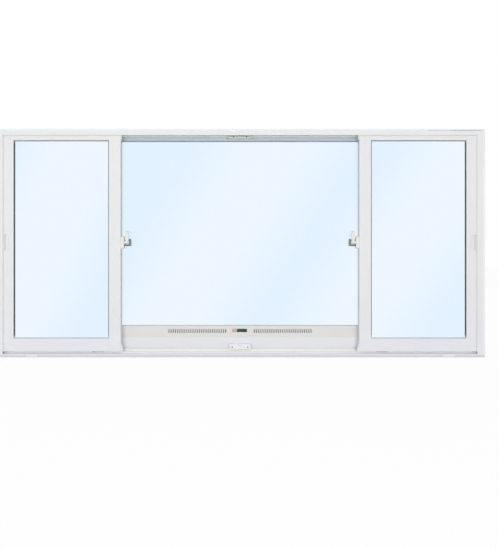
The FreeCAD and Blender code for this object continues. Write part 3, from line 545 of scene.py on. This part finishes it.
@dataclass(frozen=True)
class FrameCoat(PowderCoat):
    """The frame's coat: painted light in the tracks, cool on the fins, with painted shade in the head's
    soffit and low on the sill's face.
    """

    # Painted light: near white deep in the frame, where the tracks lie in shade.
    painted_light: Colour = srgb(252, 252, 252)
    painted_light_span: Span = (-0.0626, -0.0596)
    # Painted shade: the head's soffit is darker and cooler high in the frame.
    soffit_shade: Colour = srgb(224, 229, 234)
    soffit_shade_span: Span = (1.0, 1.15)
    fin: Colour = srgb(238, 242, 248)
    top_fin_span: Span = (1.247, 1.25)
    side_fin_span: Span = (1.3365, 1.338)
    # Painted shade: darker low on the sill's face, toward its foot.
    splash: Colour = srgb(207, 211, 216)
    splash_span: Span = (0.0215, 0.009)
    rim: Colour = srgb(242, 244, 248)
    rim_span: Span = (0.0065, 0.0045)

    def marked(self, sheet: NodeSheet, place: Socket, toned: Socket, height: Socket) -> Socket:
        """Write the fins, the painted shade low on the sill's face and the lighter rim under it, the
        painted light in the tracks and the painted shade in the soffit.

        Args:
            sheet: The material's sheet.
            place: Object coordinates.
            toned: The coat's colour.
            height: The height's socket.

        Returns:
            The marked colour.
        """
        side = Effects.zone(sheet, sheet.from_middle(place), self.side_fin_span)
        above = Effects.zone(sheet, height, self.top_fin_span)
        finned = sheet.blend(sheet.maths("MAXIMUM", side, above), toned, self.fin)
        # Painted shade low on the sill's face, then the lighter rim under it.
        foot_shaded = Effects.tint(sheet, finned, self.splash, height, self.splash_span)
        rimmed = Effects.tint(sheet, foot_shaded, self.rim, height, self.rim_span)
        # Painted light in the tracks, painted shade in the soffit.
        inside = Effects.tint(sheet, self.painted_light, self.soffit_shade, height, self.soffit_shade_span)
        return Effects.tint(sheet, rimmed, inside, sheet.axis(place, "Y"), self.painted_light_span)


@dataclass(frozen=True)
class ClearGlass(Finish):
    """Float glass with a faint tint and one or two slanting bands of painted reflection."""

    # Painted reflection: the lighter tint of the slanting bands.
    light: Colour = srgb(237, 246, 255)
    centre: Point = (0.0, 0.0, 0.6)
    slope: float = 1.0
    width: float = 0.1
    softness: float = 0.3
    next_reflection_band: float = 0.0
    bending: float = 1.45

    def dress(self, sheet: NodeSheet, shader: Node, place: Socket) -> None:
        """Write the tint, its painted reflection bands and the clear body.

        Args:
            sheet: The material's sheet.
            shader: The shader node.
            place: Object coordinates.
        """
        share = self.band(sheet, place, 0.0)
        if self.next_reflection_band:
            share = sheet.maths("MAXIMUM", share, self.band(sheet, place, self.next_reflection_band))
        # Painted reflection in the slanting bands.
        sheet.join(sheet.blend(share, self.colour, self.light), shader.inputs["Base Color"])
        shader.inputs["Transmission Weight"].default_value = 1.0
        shader.inputs["Metallic"].default_value = 0.0
        shader.inputs["IOR"].default_value = self.bending

    def band(self, sheet: NodeSheet, place: Socket, lower: float) -> Socket:
        """Place one slanting band of painted reflection.

        Args:
            sheet: The material's sheet.
            place: Object coordinates.
            lower: How far the band lies under the pane's first one.

        Returns:
            The band's share.
        """
        move = sheet.add("ShaderNodeMapping")
        move.inputs["Location"].default_value = (-self.centre[0], -self.centre[1], lower - self.centre[2])
        sheet.join(place, move.inputs["Vector"])
        band = Effects.place(
            sheet, build_sheen_group, Slope=self.slope, Width=self.width, Softness=self.softness
        )
        sheet.join(move.outputs["Vector"], band.inputs["Vector"])
        return band.outputs["Band"]


@dataclass(frozen=True)
class Rubber(Finish):
    """A dull glazing gasket with a slight bloom, and painted light and shade in the tones of its inner
    sides, its top and its foot.
    """

    mirror: float = 0.25
    # Painted light and shade: the inner sides, the top and the foot take tones that stand in for how light
    # falls on them.
    inner: Colour = srgb(148, 162, 168)
    painted_inner_span: Span = (1.05, 0.9)
    top: Colour = srgb(150, 158, 163)
    painted_top_span: Span = (1.185, 1.193)
    painted_light_foot: Colour = srgb(222, 226, 228)
    painted_light_foot_span: Span = (0.125, 0.11)
    bloom: float = 0.12
    bloom_grain: float = 40.0

    def dress(self, sheet: NodeSheet, shader: Node, place: Socket) -> None:
        """Write the painted light and shade of the sides, the top and the foot, and the bloom.

        Args:
            sheet: The material's sheet.
            shader: The shader node.
            place: Object coordinates.
        """
        height = sheet.axis(place, "Z")
        # Painted light and shade on the sides, the top and the foot.
        sides = Effects.tint(sheet, self.colour, self.inner, sheet.from_middle(place), self.painted_inner_span)
        upper = Effects.tint(sheet, sides, self.top, height, self.painted_top_span)
        lower = Effects.tint(sheet, upper, self.painted_light_foot, height, self.painted_light_foot_span)
        grain = sheet.noise(place, self.bloom_grain, detail=3.0)
        share = sheet.maths("MULTIPLY", grain, self.bloom, clamp=True)
        sheet.join(sheet.blend(share, lower, self.painted_light_foot), shader.inputs["Base Color"])


@dataclass(frozen=True)
class StripRubber(Finish):
    """A seal strip whose outer half is darker with painted shade."""

    # Painted shade: the outer half is darker, standing in for the shadow along the head's top edge.
    far_shade: Colour = srgb(166, 172, 176)
    far_shade_span: Span = (1.15, 1.17)
    cloud: float = 60.0

    def dress(self, sheet: NodeSheet, shader: Node, place: Socket) -> None:
        """Write the strip's tone and the painted shade on its outer half.

        Args:
            sheet: The material's sheet.
            shader: The shader node.
            place: Object coordinates.
        """
        near = self.clouded(sheet, place, self.cloud)
        # Painted shade on the outer half.
        toned = Effects.tint(sheet, near, self.far_shade, sheet.from_middle(place), self.far_shade_span)
        sheet.join(toned, shader.inputs["Base Color"])


@dataclass(frozen=True)
class PlatedSteel(Finish):
    """Drawn or pressed metal with fine lines."""

    fineness: float = 700.0
    metallic: float = 1.0
    line_shade: float = 0.15
    gloss_spread: float = 0.2
    relief: float = 0.00003

    def dress(self, sheet: NodeSheet, shader: Node, place: Socket) -> None:
        """Write the lines in colour, roughness and relief.

        Args:
            sheet: The material's sheet.
            shader: The shader node.
            place: Object coordinates.
        """
        lines = Effects.place(sheet, build_streak_group, Fineness=self.fineness)
        sheet.join(place, lines.inputs["Vector"])
        toned = sheet.blend(lines.outputs["Line"], self.shade(self.line_shade), self.colour)
        sheet.join(toned, shader.inputs["Base Color"])
        uneven = sheet.maths("MULTIPLY", lines.outputs["Line"], self.gloss_spread)
        rough = sheet.maths("ADD", uneven, self.roughness - self.gloss_spread / 2)
        sheet.join(rough, shader.inputs["Roughness"])
        shader.inputs["Metallic"].default_value = self.metallic
        self.bump(sheet, shader, lines.outputs["Relief"], self.relief)


@dataclass(frozen=True)
class MouldedPlastic(Finish):
    """Injection moulded plastic with a soft gloss and a faint cloud."""

    cloud: float = 25.0

    def dress(self, sheet: NodeSheet, shader: Node, place: Socket) -> None:
        """Write the faint cloud of a moulding."""
        sheet.join(self.clouded(sheet, place, self.cloud), shader.inputs["Base Color"])


@dataclass(frozen=True)
class StopPlastic(MouldedPlastic):
    """The bottom stop's plastic, with painted shade on the floor of the dimple in its face."""

    # Painted shade: the dimple's floor is darker where it lies recessed.
    dimple_shade: Colour = srgb(222, 224, 222)
    floor_start: float = 0.003
    floor_end: float = 0.0042
    half_span: Span = (0.012, 0.011)
    rim_start: float = 0.006
    rim_end: float = 0.007

    def dress(self, sheet: NodeSheet, shader: Node, place: Socket) -> None:
        """Write the moulding's cloud and the painted shade on the dimple's floor.

        Args:
            sheet: The material's sheet.
            shader: The shader node.
            place: Object coordinates.
        """
        low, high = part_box("bottom_stop")
        floor_span = (low[1] + self.floor_start, low[1] + self.floor_end)
        rim_span = (high[2] - self.rim_start, high[2] - self.rim_end)
        deep = Effects.zone(sheet, sheet.axis(place, "Y"), floor_span)
        middle = Effects.zone(sheet, sheet.from_middle(place), self.half_span)
        under = Effects.zone(sheet, sheet.axis(place, "Z"), rim_span)
        inside = sheet.maths("MULTIPLY", sheet.maths("MULTIPLY", deep, middle), under)
        cloudy = self.clouded(sheet, place, self.cloud)
        # Painted shade on the dimple's floor.
        sheet.join(sheet.blend(inside, cloudy, self.dimple_shade), shader.inputs["Base Color"])


@dataclass(frozen=True)
class PileBristle(Finish):
    """Woven pile whose hairs stand across the strip."""

    mirror: float = 0.1
    fineness: float = 1500.0
    root_shade: float = 0.2
    pile: float = 0.0002

    def dress(self, sheet: NodeSheet, shader: Node, place: Socket) -> None:
        """Write the hairs in colour and relief.

        Args:
            sheet: The material's sheet.
            shader: The shader node.
            place: Object coordinates.
        """
        hairs = sheet.noise(place, self.fineness, detail=1.0)
        toned = sheet.blend(hairs, self.shade(self.root_shade), self.colour)
        sheet.join(toned, shader.inputs["Base Color"])
        self.bump(sheet, shader, hairs, self.pile)


SASH_TONE = srgb(235, 235, 236)
VENT_TONE = srgb(231, 229, 227)
DUCT_TONE = srgb(216, 201, 193)
PANE_TONE = srgb(226, 243, 252)
GLASS_TINT = srgb(226, 241, 255)

FRAME_WHITE = FrameCoat("frame_white", srgb(236, 236, 235), 0.42, Wear.HANDLED)
SASH_WHITE = PowderCoat("sash_white", SASH_TONE, 0.4, Wear.HANDLED)
LOCK_WHITE = StileCoat("lock_white", SASH_TONE, 0.4, Wear.HANDLED)
SHADED_WHITE = PowderCoat("shaded_white", srgb(192, 200, 208), 0.4, Wear.HANDLED)
VENT_WHITE = PowderCoat("vent_white", VENT_TONE, 0.45, Wear.HANDLED, painted_low_shade=VENT_TONE)
DUCT_GREY = DuctCoat("duct_grey", DUCT_TONE, 0.5, Wear.HANDLED, painted_low_shade=DUCT_TONE)
LATCH_WHITE = PowderCoat("latch_white", srgb(234, 234, 233), 0.3, Wear.NEW, peel=0.00001)
RAIL_METAL = PlatedSteel("rail_metal", srgb(253, 253, 253), 0.4, Wear.NEW, fineness=500.0, metallic=0.0)
LATCH_METAL = PlatedSteel("latch_metal", srgb(140, 146, 143), 0.45, Wear.HANDLED, metallic=0.4)
SCREW_METAL = PlatedSteel("screw_metal", srgb(112, 110, 108), 0.4, Wear.HANDLED)
# Painted light: the sash gasket is dark, with lighter inner sides, top and foot.
SASH_GASKET = Rubber("sash_gasket", srgb(36, 45, 47), 0.6)
# The centre gasket takes the pane's tint, with painted shade at its top and painted light at its foot.
CENTRE_GASKET = Rubber(
    "centre_gasket",
    PANE_TONE,
    0.6,
    inner=PANE_TONE,
    top=srgb(140, 154, 162),
    painted_top_span=(1.185, 1.2),
    painted_light_foot=srgb(240, 245, 248),
    painted_light_foot_span=(0.2, 0.18),
)
SEAL_GREY = StripRubber("seal_grey", srgb(203, 207, 209), 0.6, Wear.HANDLED)
MOULDED_WHITE = MouldedPlastic("moulded_white", srgb(238, 238, 240), 0.35, Wear.HANDLED)
# Painted light: the bottom stop is a lighter copy of the moulded white, standing in for the light on its
# upward faces.
STOP_LIT_WHITE = StopPlastic("stop_lit_white", srgb(245, 245, 243), 0.35, Wear.HANDLED)
STOP_SHADED = MouldedPlastic("stop_shaded", srgb(213, 216, 218), 0.35, Wear.HANDLED)
WHEEL_DARK = MouldedPlastic("wheel_dark", srgb(58, 60, 62), 0.5, Wear.HANDLED)
PILE_BEIGE = PileBristle("pile_beige", srgb(242, 241, 237), 0.8)
PILE_WHITE = PileBristle("pile_white", srgb(250, 250, 250), 0.8)
LABEL_TAB = MouldedPlastic("label_tab", srgb(213, 172, 168), 0.4)
LABEL_FIELD = MouldedPlastic("label_field", srgb(22, 64, 60), 0.35)


# Mesh work with operators


def let_go() -> None:
    """Deselect every object."""
    bpy.ops.object.select_all(action="DESELECT")


def take(piece: bpy.types.Object) -> None:
    """Make one object the selected and active one.

    Args:
        piece: The object.
    """
    let_go()
    piece.select_set(True)
    bpy.context.view_layer.objects.active = piece


def settle(piece: bpy.types.Object) -> None:
    """Move an object's place, turn and scale into its mesh."""
    take(piece)
    bpy.ops.object.transform_apply(location=True, rotation=True, scale=True)


def pick_faces(piece: bpy.types.Object, wanted: Callable[[bpy.types.MeshPolygon], bool]) -> None:
    """Open an object in edit mode with some faces selected.

    Args:
        piece: The object.
        wanted: Says whether a face is selected.
    """
    take(piece)
    bpy.ops.object.mode_set(mode="EDIT")
    bpy.ops.mesh.select_mode(type="FACE")
    bpy.ops.mesh.select_all(action="DESELECT")
    bpy.ops.object.mode_set(mode="OBJECT")
    for face in piece.data.polygons:
        face.select = wanted(face)
    bpy.ops.object.mode_set(mode="EDIT")


def finish_edit() -> None:
    """Leave edit mode."""
    bpy.ops.object.mode_set(mode="OBJECT")


def ease_edges(piece: bpy.types.Object, width: float, segments: int = 2) -> None:
    """Bevel the sharp edges of a piece with a modifier that is applied.

    Args:
        piece: The object.
        width: The bevel's width in metres.
        segments: The bevel's segments.
    """
    take(piece)
    bevel = piece.modifiers.new("ease", "BEVEL")
    bevel.width = width
    bevel.segments = segments
    bevel.limit_method = "ANGLE"
    bevel.angle_limit = SHARP_ANGLE
    bpy.ops.object.modifier_apply(modifier=bevel.name)
    bpy.ops.object.shade_smooth_by_angle(angle=SMOOTH_ANGLE)


def slab(name: str, low: Point, high: Point) -> bpy.types.Object:
    """Add a block between two corners.

    Args:
        name: The object's name.
        low: The lowest corner.
        high: The highest corner.

    Returns:
        The block, its place in its mesh.
    """
    let_go()
    middle = [(a + b) / 2 for a, b in zip(low, high)]
    bpy.ops.mesh.primitive_cube_add(size=1.0, location=middle)
    piece = bpy.context.active_object
    piece.name = name
    piece.scale = [b - a for a, b in zip(low, high)]
    settle(piece)
    return piece


def copy_of(piece: bpy.types.Object, name: str, place: Matrix) -> bpy.types.Object:
    """Copy a piece with its own mesh to another place.

    Args:
        piece: The piece to copy.
        name: The copy's name.
        place: The matrix that moves its mesh.

    Returns:
        The copy.
    """
    twin = bpy.data.objects.new(name, piece.data.copy())
    bpy.context.scene.collection.objects.link(twin)
    twin.data.transform(place)
    if place.determinant() < 0:
        twin.data.flip_normals()
    return twin


def hang(piece: bpy.types.Object, finish: Finish) -> bpy.types.Object:
    """Give a new piece its material and its body.

    Args:
        piece: The piece.
        finish: Its finish.

    Returns:
        The same piece.
    """
    piece.data.materials.clear()
    piece.data.materials.append(finish.material())
    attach(piece, BODY)
    LOG.info("made %s", piece.name)
    return piece


# Sub-assemblies


@dataclass
class DressedNodes:
    """CAD nodes that keep their shape and only get a finish."""

    finishes: dict[str, Finish]

    def dress(self) -> None:
        """Put each finish on its node."""
        for name, finish in self.finishes.items():
            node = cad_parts[name]
            made = finish.material()
            for slot in node.material_slots:
                slot.material = made
            if not node.material_slots:
                node.data.materials.append(made)
            LOG.info("dressed %s with %s", name, finish.name)


@dataclass
class ScrewHead:
    """A domed screw head with a cross recess, modelled once and copied."""

    radius: float = 0.0034
    height: float = 0.0016
    sides: int = 24
    rim: float = 0.0009
    dome_share: float = 0.5
    recess_width: float = 0.0012
    recess_depth: float = 0.001
    recess_share: float = 1.2
    sunk: float = 0.0001
    upward: float = 0.9
    master: bpy.types.Object | None = None

    def model(self) -> None:
        """Build the head at the origin, facing the room."""
        let_go()
        bpy.ops.mesh.primitive_cylinder_add(vertices=self.sides, radius=self.radius, depth=self.height)
        head = bpy.context.active_object
        head.name = "screw_master"
        pick_faces(head, lambda face: face.normal.z > self.upward)
        bpy.ops.mesh.inset(thickness=self.rim)
        dome = self.rim * self.dome_share
        bpy.ops.transform.translate(value=(0.0, 0.0, dome))
        finish_edit()
        top = self.height / 2 + dome
        recess_length = self.radius * self.recess_share
        for x_size, y_size in ((recess_length, self.recess_width), (self.recess_width, recess_length)):
            cutter = slab(
                "screw_cutter",
                (-x_size / 2, -y_size / 2, top - self.recess_depth),
                (x_size / 2, y_size / 2, top + self.recess_depth),
            )
            take(head)
            cut = head.modifiers.new("recess", "BOOLEAN")
            cut.operation = "DIFFERENCE"
            cut.object = cutter
            bpy.ops.object.modifier_apply(modifier=cut.name)
            bpy.data.objects.remove(cutter)
        take(head)
        bpy.ops.object.shade_smooth_by_angle(angle=SMOOTH_ANGLE)
        head.data.transform(Matrix.Rotation(math.radians(90), 4, "X"))
        self.master = head

    def put(self, name: str, place: Point, towards: Point) -> bpy.types.Object:
        """Put a copy of the head on a surface.

        Args:
            name: The copy's name.
            place: The point on the surface under the head's middle.
            towards: The direction that the head faces.

        Returns:
            The screw head.
        """
        facing = Vector(towards).normalized()
        turn = Vector(ROOM).rotation_difference(facing).to_matrix().to_4x4()
        lift = facing * (self.height / 2 - self.sunk)
        return copy_of(self.master, name, Matrix.Translation(Vector(place) + lift) @ turn)

    def clear(self) -> None:
        """Remove the master once every copy is made."""
        bpy.data.objects.remove(self.master)


@dataclass
class SashStops:
    """Screws in the faces of the top and bottom sash stop."""

    bottom_half: float = 0.043
    bottom_z: float = 0.0545
    top_half: float = 0.0355
    top_drop: float = 0.002
    face_back: float = 0.002

    def build(self, screw: ScrewHead) -> None:
        """Put two screws on each stop.

        Args:
            screw: The screw head to copy.
        """
        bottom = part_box("bottom_stop")[0]
        top_low, top_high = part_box("top_stop")
        for hand in Hand:
            place = (hand.value * self.bottom_half, bottom[1] + self.face_back, self.bottom_z)
            hang(screw.put(f"bottom_stop_screw_{hand.word}", place, ROOM), SCREW_METAL)
            place = (hand.value * self.top_half, top_low[1] + self.face_back, top_high[2] - self.top_drop)
            hang(screw.put(f"top_stop_screw_{hand.word}", place, ROOM), SCREW_METAL)


@dataclass
class VentLabel:
    """The small plate between the slot groups, left bare in two tones."""

    low_x: float = -0.0447
    high_x: float = 0.0391
    split_x: float = -0.017
    low_z: float = 0.134
    high_z: float = 0.1526
    thick: float = 0.0006

    def build(self) -> None:
        """Lay both parts of the plate on the ventilator's face."""
        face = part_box("vent_grille")[0][1]
        for name, x0, x1, finish in (
            ("vent_plate_tab", self.low_x, self.split_x, LABEL_TAB),
            ("vent_plate_field", self.split_x, self.high_x, LABEL_FIELD),
        ):
            plate = slab(name, (x0, face - self.thick, self.low_z), (x1, face, self.high_z))
            ease_edges(plate, self.thick * PLATE_EASE)
            hang(plate, finish)


@dataclass
class SillTrim:
    """The beige strip on the riser of the sill's platform, under the centre light."""

    half_length: float = 0.655
    thick: float = 0.0008
    height: float = 0.0115
    stop_gap: float = 0.0005
    riser_lead: float = 0.002

    def build(self) -> None:
        """Lay the strip against the riser, which stands in front of the rail, on both sides of the stop."""
        stop_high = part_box("bottom_stop")[1]
        rail_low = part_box("centre_bottom_rail")[0]
        riser = rail_low[1] - self.riser_lead
        for hand in Hand:
            x0, x1 = sorted((hand.value * (stop_high[0] + self.stop_gap), hand.value * self.half_length))
            low = (x0, riser - self.thick, rail_low[2] - self.height)
            strip = slab(f"riser_strip_{hand.word}", low, (x1, riser, rail_low[2]))
            ease_edges(strip, self.thick * PLATE_EASE)
            hang(strip, PILE_BEIGE)


@dataclass
class JambPile:
    """The pile strip behind each jamb's lip, which closes the slit beside the sash."""

    depth: float = 0.0086
    reach: float = 0.0075
    clearance: float = 0.0003
    stile_step: float = 0.015
    lip: float = 0.005

    def build(self) -> None:
        """Stand a strip between the lip's return and each lock stile's stepped edge."""
        for hand in Hand:
            low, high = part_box(f"{hand.word}_lock_stile")
            edge = low[0] + self.stile_step if hand is Hand.LEFT else high[0] - self.stile_step
            inner = edge + hand.value * self.clearance
            x0, x1 = sorted((inner, inner + hand.value * self.reach))
            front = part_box(f"{hand.word}_jamb")[0][1] + self.lip + self.clearance
            pile = slab(f"{hand.word}_jamb_pile", (x0, front, low[2]), (x1, front + self.depth, high[2]))
            ease_edges(pile, self.clearance)
            hang(pile, PILE_WHITE)


@dataclass
class LatchScrews:
    """Two screws on the face of each latch base."""

    inset: float = 0.0135

    def build(self, screw: ScrewHead) -> None:
        """Put the screws on both latches.

        Args:
            screw: The screw head to copy.
        """
        for hand in Hand:
            low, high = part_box(f"{hand.word}_latch_base")
            x = high[0] if hand is Hand.LEFT else low[0]
            y = (low[1] + high[1]) / 2
            for end, z in (("low", low[2] + self.inset), ("high", high[2] - self.inset)):
                piece = screw.put(f"{hand.word}_latch_screw_{end}", (x, y, z), (-hand.value, 0, 0))
                hang(piece, SCREW_METAL)


# The room around the window


@dataclass(frozen=True)
class Lamp:
    """A soft square lamp: its place, the point that it faces, its side in metres and its power in watts."""

    name: str
    place: Point
    aim: Point
    size: float
    power: float

    def stand(self) -> None:
        """Put the lamp in the scene, unseen by camera, mirrors and glass."""
        data = bpy.data.lights.new(self.name, "AREA")
        data.size = self.size
        data.energy = self.power
        lamp = bpy.data.objects.new(self.name, data)
        lamp.location = self.place
        lamp.rotation_euler = (Vector(self.aim) - Vector(self.place)).to_track_quat("-Z", "Y").to_euler()
        lamp.visible_camera = False
        lamp.visible_glossy = False
        lamp.visible_transmission = False
        bpy.context.scene.collection.objects.link(lamp)


LAMPS = (
    Lamp("key", (-1.9, -5.2, 1.1), (-0.6, 0.0, 0.6), size=1.8, power=77.5),
    Lamp("fill", (1.9, -5.2, 0.6), (0.6, 0.0, 0.5), size=1.6, power=76.0),
    Lamp("rear", (-1.5, 4.0, 3.0), (0.0, 0.0, 0.6), size=3.0, power=90.0),
)


@dataclass
class Studio:
    """Floor, world, lamps and camera."""

    distance: float = 3.8
    lens: float = 45.4
    sensor: float = 36.0
    image_width: int = 498
    image_height: int = 548
    middle_x: float = 240.0
    middle_y: float = 243.4
    eye_height: float = 0.63
    ambient: float = 0.5
    floor_size: float = 30.0
    floor_tone: float = 0.9
    floor_glow: float = 0.96

    def floor(self) -> None:
        """Lay the pale floor, which shows white to the camera and keeps the window's shadow."""
        let_go()
        bpy.ops.mesh.primitive_plane_add(size=self.floor_size, location=(0.0, 0.0, 0.0))
        ground = bpy.context.active_object
        ground.name = "floor"
        made = bpy.data.materials.new("look_floor")
        made.use_nodes = True
        made.node_tree.nodes.clear()
        sheet = NodeSheet(made.node_tree)
        matt = sheet.add("ShaderNodeBsdfDiffuse")
        sheet.fill(matt.inputs["Color"], (self.floor_tone, self.floor_tone, self.floor_tone))
        glow = sheet.add("ShaderNodeEmission")
        path = sheet.add("ShaderNodeLightPath")
        glossy, through = path.outputs["Is Glossy Ray"], path.outputs["Is Transmission Ray"]
        mirrored = sheet.maths("MAXIMUM", glossy, through)
        direct = sheet.maths("MULTIPLY", path.outputs["Is Camera Ray"], self.floor_glow)
        seen = sheet.maths("MAXIMUM", mirrored, direct)
        mix = sheet.add("ShaderNodeMixShader")
        sheet.join(seen, mix.inputs[0])
        sheet.join(matt.outputs[0], mix.inputs[1])
        sheet.join(glow.outputs[0], mix.inputs[2])
        sheet.join(mix.outputs[0], sheet.add("ShaderNodeOutputMaterial").inputs["Surface"])
        ground.data.materials.append(made)

    def seen_directly(self, sheet: NodeSheet) -> Socket:
        """Give 1 for rays from the camera, mirrors and glass, and 0 for the light that falls on things.

        Args:
            sheet: The sheet to write into.

        Returns:
            The share's socket.
        """
        path = sheet.add("ShaderNodeLightPath")
        seen = sheet.maths("MAXIMUM", path.outputs["Is Camera Ray"], path.outputs["Is Glossy Ray"])
        return sheet.maths("MAXIMUM", seen, path.outputs["Is Transmission Ray"])

    def world(self) -> None:
        """Make the even white surround."""
        world = bpy.data.worlds.new("studio_world")
        world.use_nodes = True
        world.node_tree.nodes.clear()
        sheet = NodeSheet(world.node_tree)
        back = sheet.add("ShaderNodeBackground")
        back.inputs["Color"].default_value = (1.0, 1.0, 1.0, 1.0)
        seen = self.seen_directly(sheet)
        level = sheet.maths("ADD", sheet.maths("MULTIPLY", seen, 1.0 - self.ambient), self.ambient)
        sheet.join(level, back.inputs["Strength"])
        sheet.join(back.outputs[0], sheet.add("ShaderNodeOutputWorld").inputs["Surface"])
        bpy.context.scene.world = world

    def camera(self) -> None:
        """Set up the camera in front of the window's middle, at the photograph's framing."""
        data = bpy.data.cameras.new("camera")
        data.lens = self.lens
        data.sensor_width = self.sensor
        data.shift_x = (self.image_width / 2 - self.middle_x) / self.image_height
        data.shift_y = (self.middle_y - self.image_height / 2) / self.image_height
        camera = bpy.data.objects.new("camera", data)
        camera.location = (0.0, CAD_BOX[0][1] - self.distance, self.eye_height)
        camera.rotation_euler = (math.radians(90), 0.0, 0.0)
        bpy.context.scene.collection.objects.link(camera)
        bpy.context.scene.camera = camera

    def build(self) -> None:
        """Set up the whole studio."""
        self.floor()
        self.world()
        for lamp in LAMPS:
            lamp.stand()
        self.camera()
        bpy.context.scene.view_settings.view_transform = "Standard"


def glass_finishes() -> dict[str, Finish]:
    """Name the finish of each pane, the same tint with the pane's own band of painted reflection.

    Returns:
        The finishes by node name.
    """
    middle = ClearGlass(
        "glass_centre",
        GLASS_TINT,
        0.0,
        centre=(0.0, 0.0, 0.828),
        slope=1.61,
        width=0.25,
        softness=0.52,
        next_reflection_band=1.68,
    )
    left = ClearGlass(
        "glass_left", GLASS_TINT, 0.0, centre=(-0.98, 0.0, 0.926), slope=2.3, width=0.4, softness=0.6
    )
    right = ClearGlass(
        "glass_right", GLASS_TINT, 0.0, centre=(0.98, 0.0, 0.704), slope=1.45, width=0.227, softness=0.43
    )
    return {"centre_glass": middle, "left_glass": left, "right_glass": right}


def node_finishes() -> dict[str, Finish]:
    """Name the finish of every CAD node.

    Returns:
        The finishes by node name.
    """
    finishes: dict[str, Finish] = {
        "head_frame": FRAME_WHITE,
        "sill_frame": FRAME_WHITE,
        "left_jamb": FRAME_WHITE,
        "right_jamb": FRAME_WHITE,
        "rail_cap": RAIL_METAL,
        "head_seal_strip": SEAL_GREY,
        "drain_covers": MOULDED_WHITE,
        "bottom_stop": STOP_LIT_WHITE,
        "top_stop": STOP_SHADED,
        "centre_left_stile": SASH_WHITE,
        "centre_right_stile": SASH_WHITE,
        "centre_top_rail": SHADED_WHITE,
        "centre_bottom_rail": SASH_WHITE,
        "centre_gaskets": CENTRE_GASKET,
        "vent_body": DUCT_GREY,
        "vent_grille": VENT_WHITE,
        "vent_end_caps": VENT_WHITE,
    }
    sash: dict[str, Finish] = {
        "lock_stile": LOCK_WHITE,
        "meeting_stile": SASH_WHITE,
        "top_rail": SASH_WHITE,
        "bottom_rail": SASH_WHITE,
        "gaskets": SASH_GASKET,
        "finger_pull": MOULDED_WHITE,
        "roller_carriages": LATCH_METAL,
        "roller_wheels": WHEEL_DARK,
        "bumpers": MOULDED_WHITE,
        "latch_base": LATCH_WHITE,
        "latch_lever": LATCH_WHITE,
        "latch_cam": LATCH_METAL,
        "latch_keeper": LATCH_METAL,
    }
    for hand in Hand:
        for name, finish in sash.items():
            finishes[f"{hand.word}_{name}"] = finish
    finishes.update(glass_finishes())
    return finishes


def main() -> None:
    """Build the scene in order."""
    logging.basicConfig(level=logging.INFO, format="%(name)s: %(message)s")
    DressedNodes(node_finishes()).dress()
    screw = ScrewHead()
    screw.model()
    SashStops().build(screw)
    LatchScrews().build(screw)
    screw.clear()
    VentLabel().build()
    SillTrim().build()
    JambPile().build()
    Studio().build()


if __name__ == "__main__":
    main()
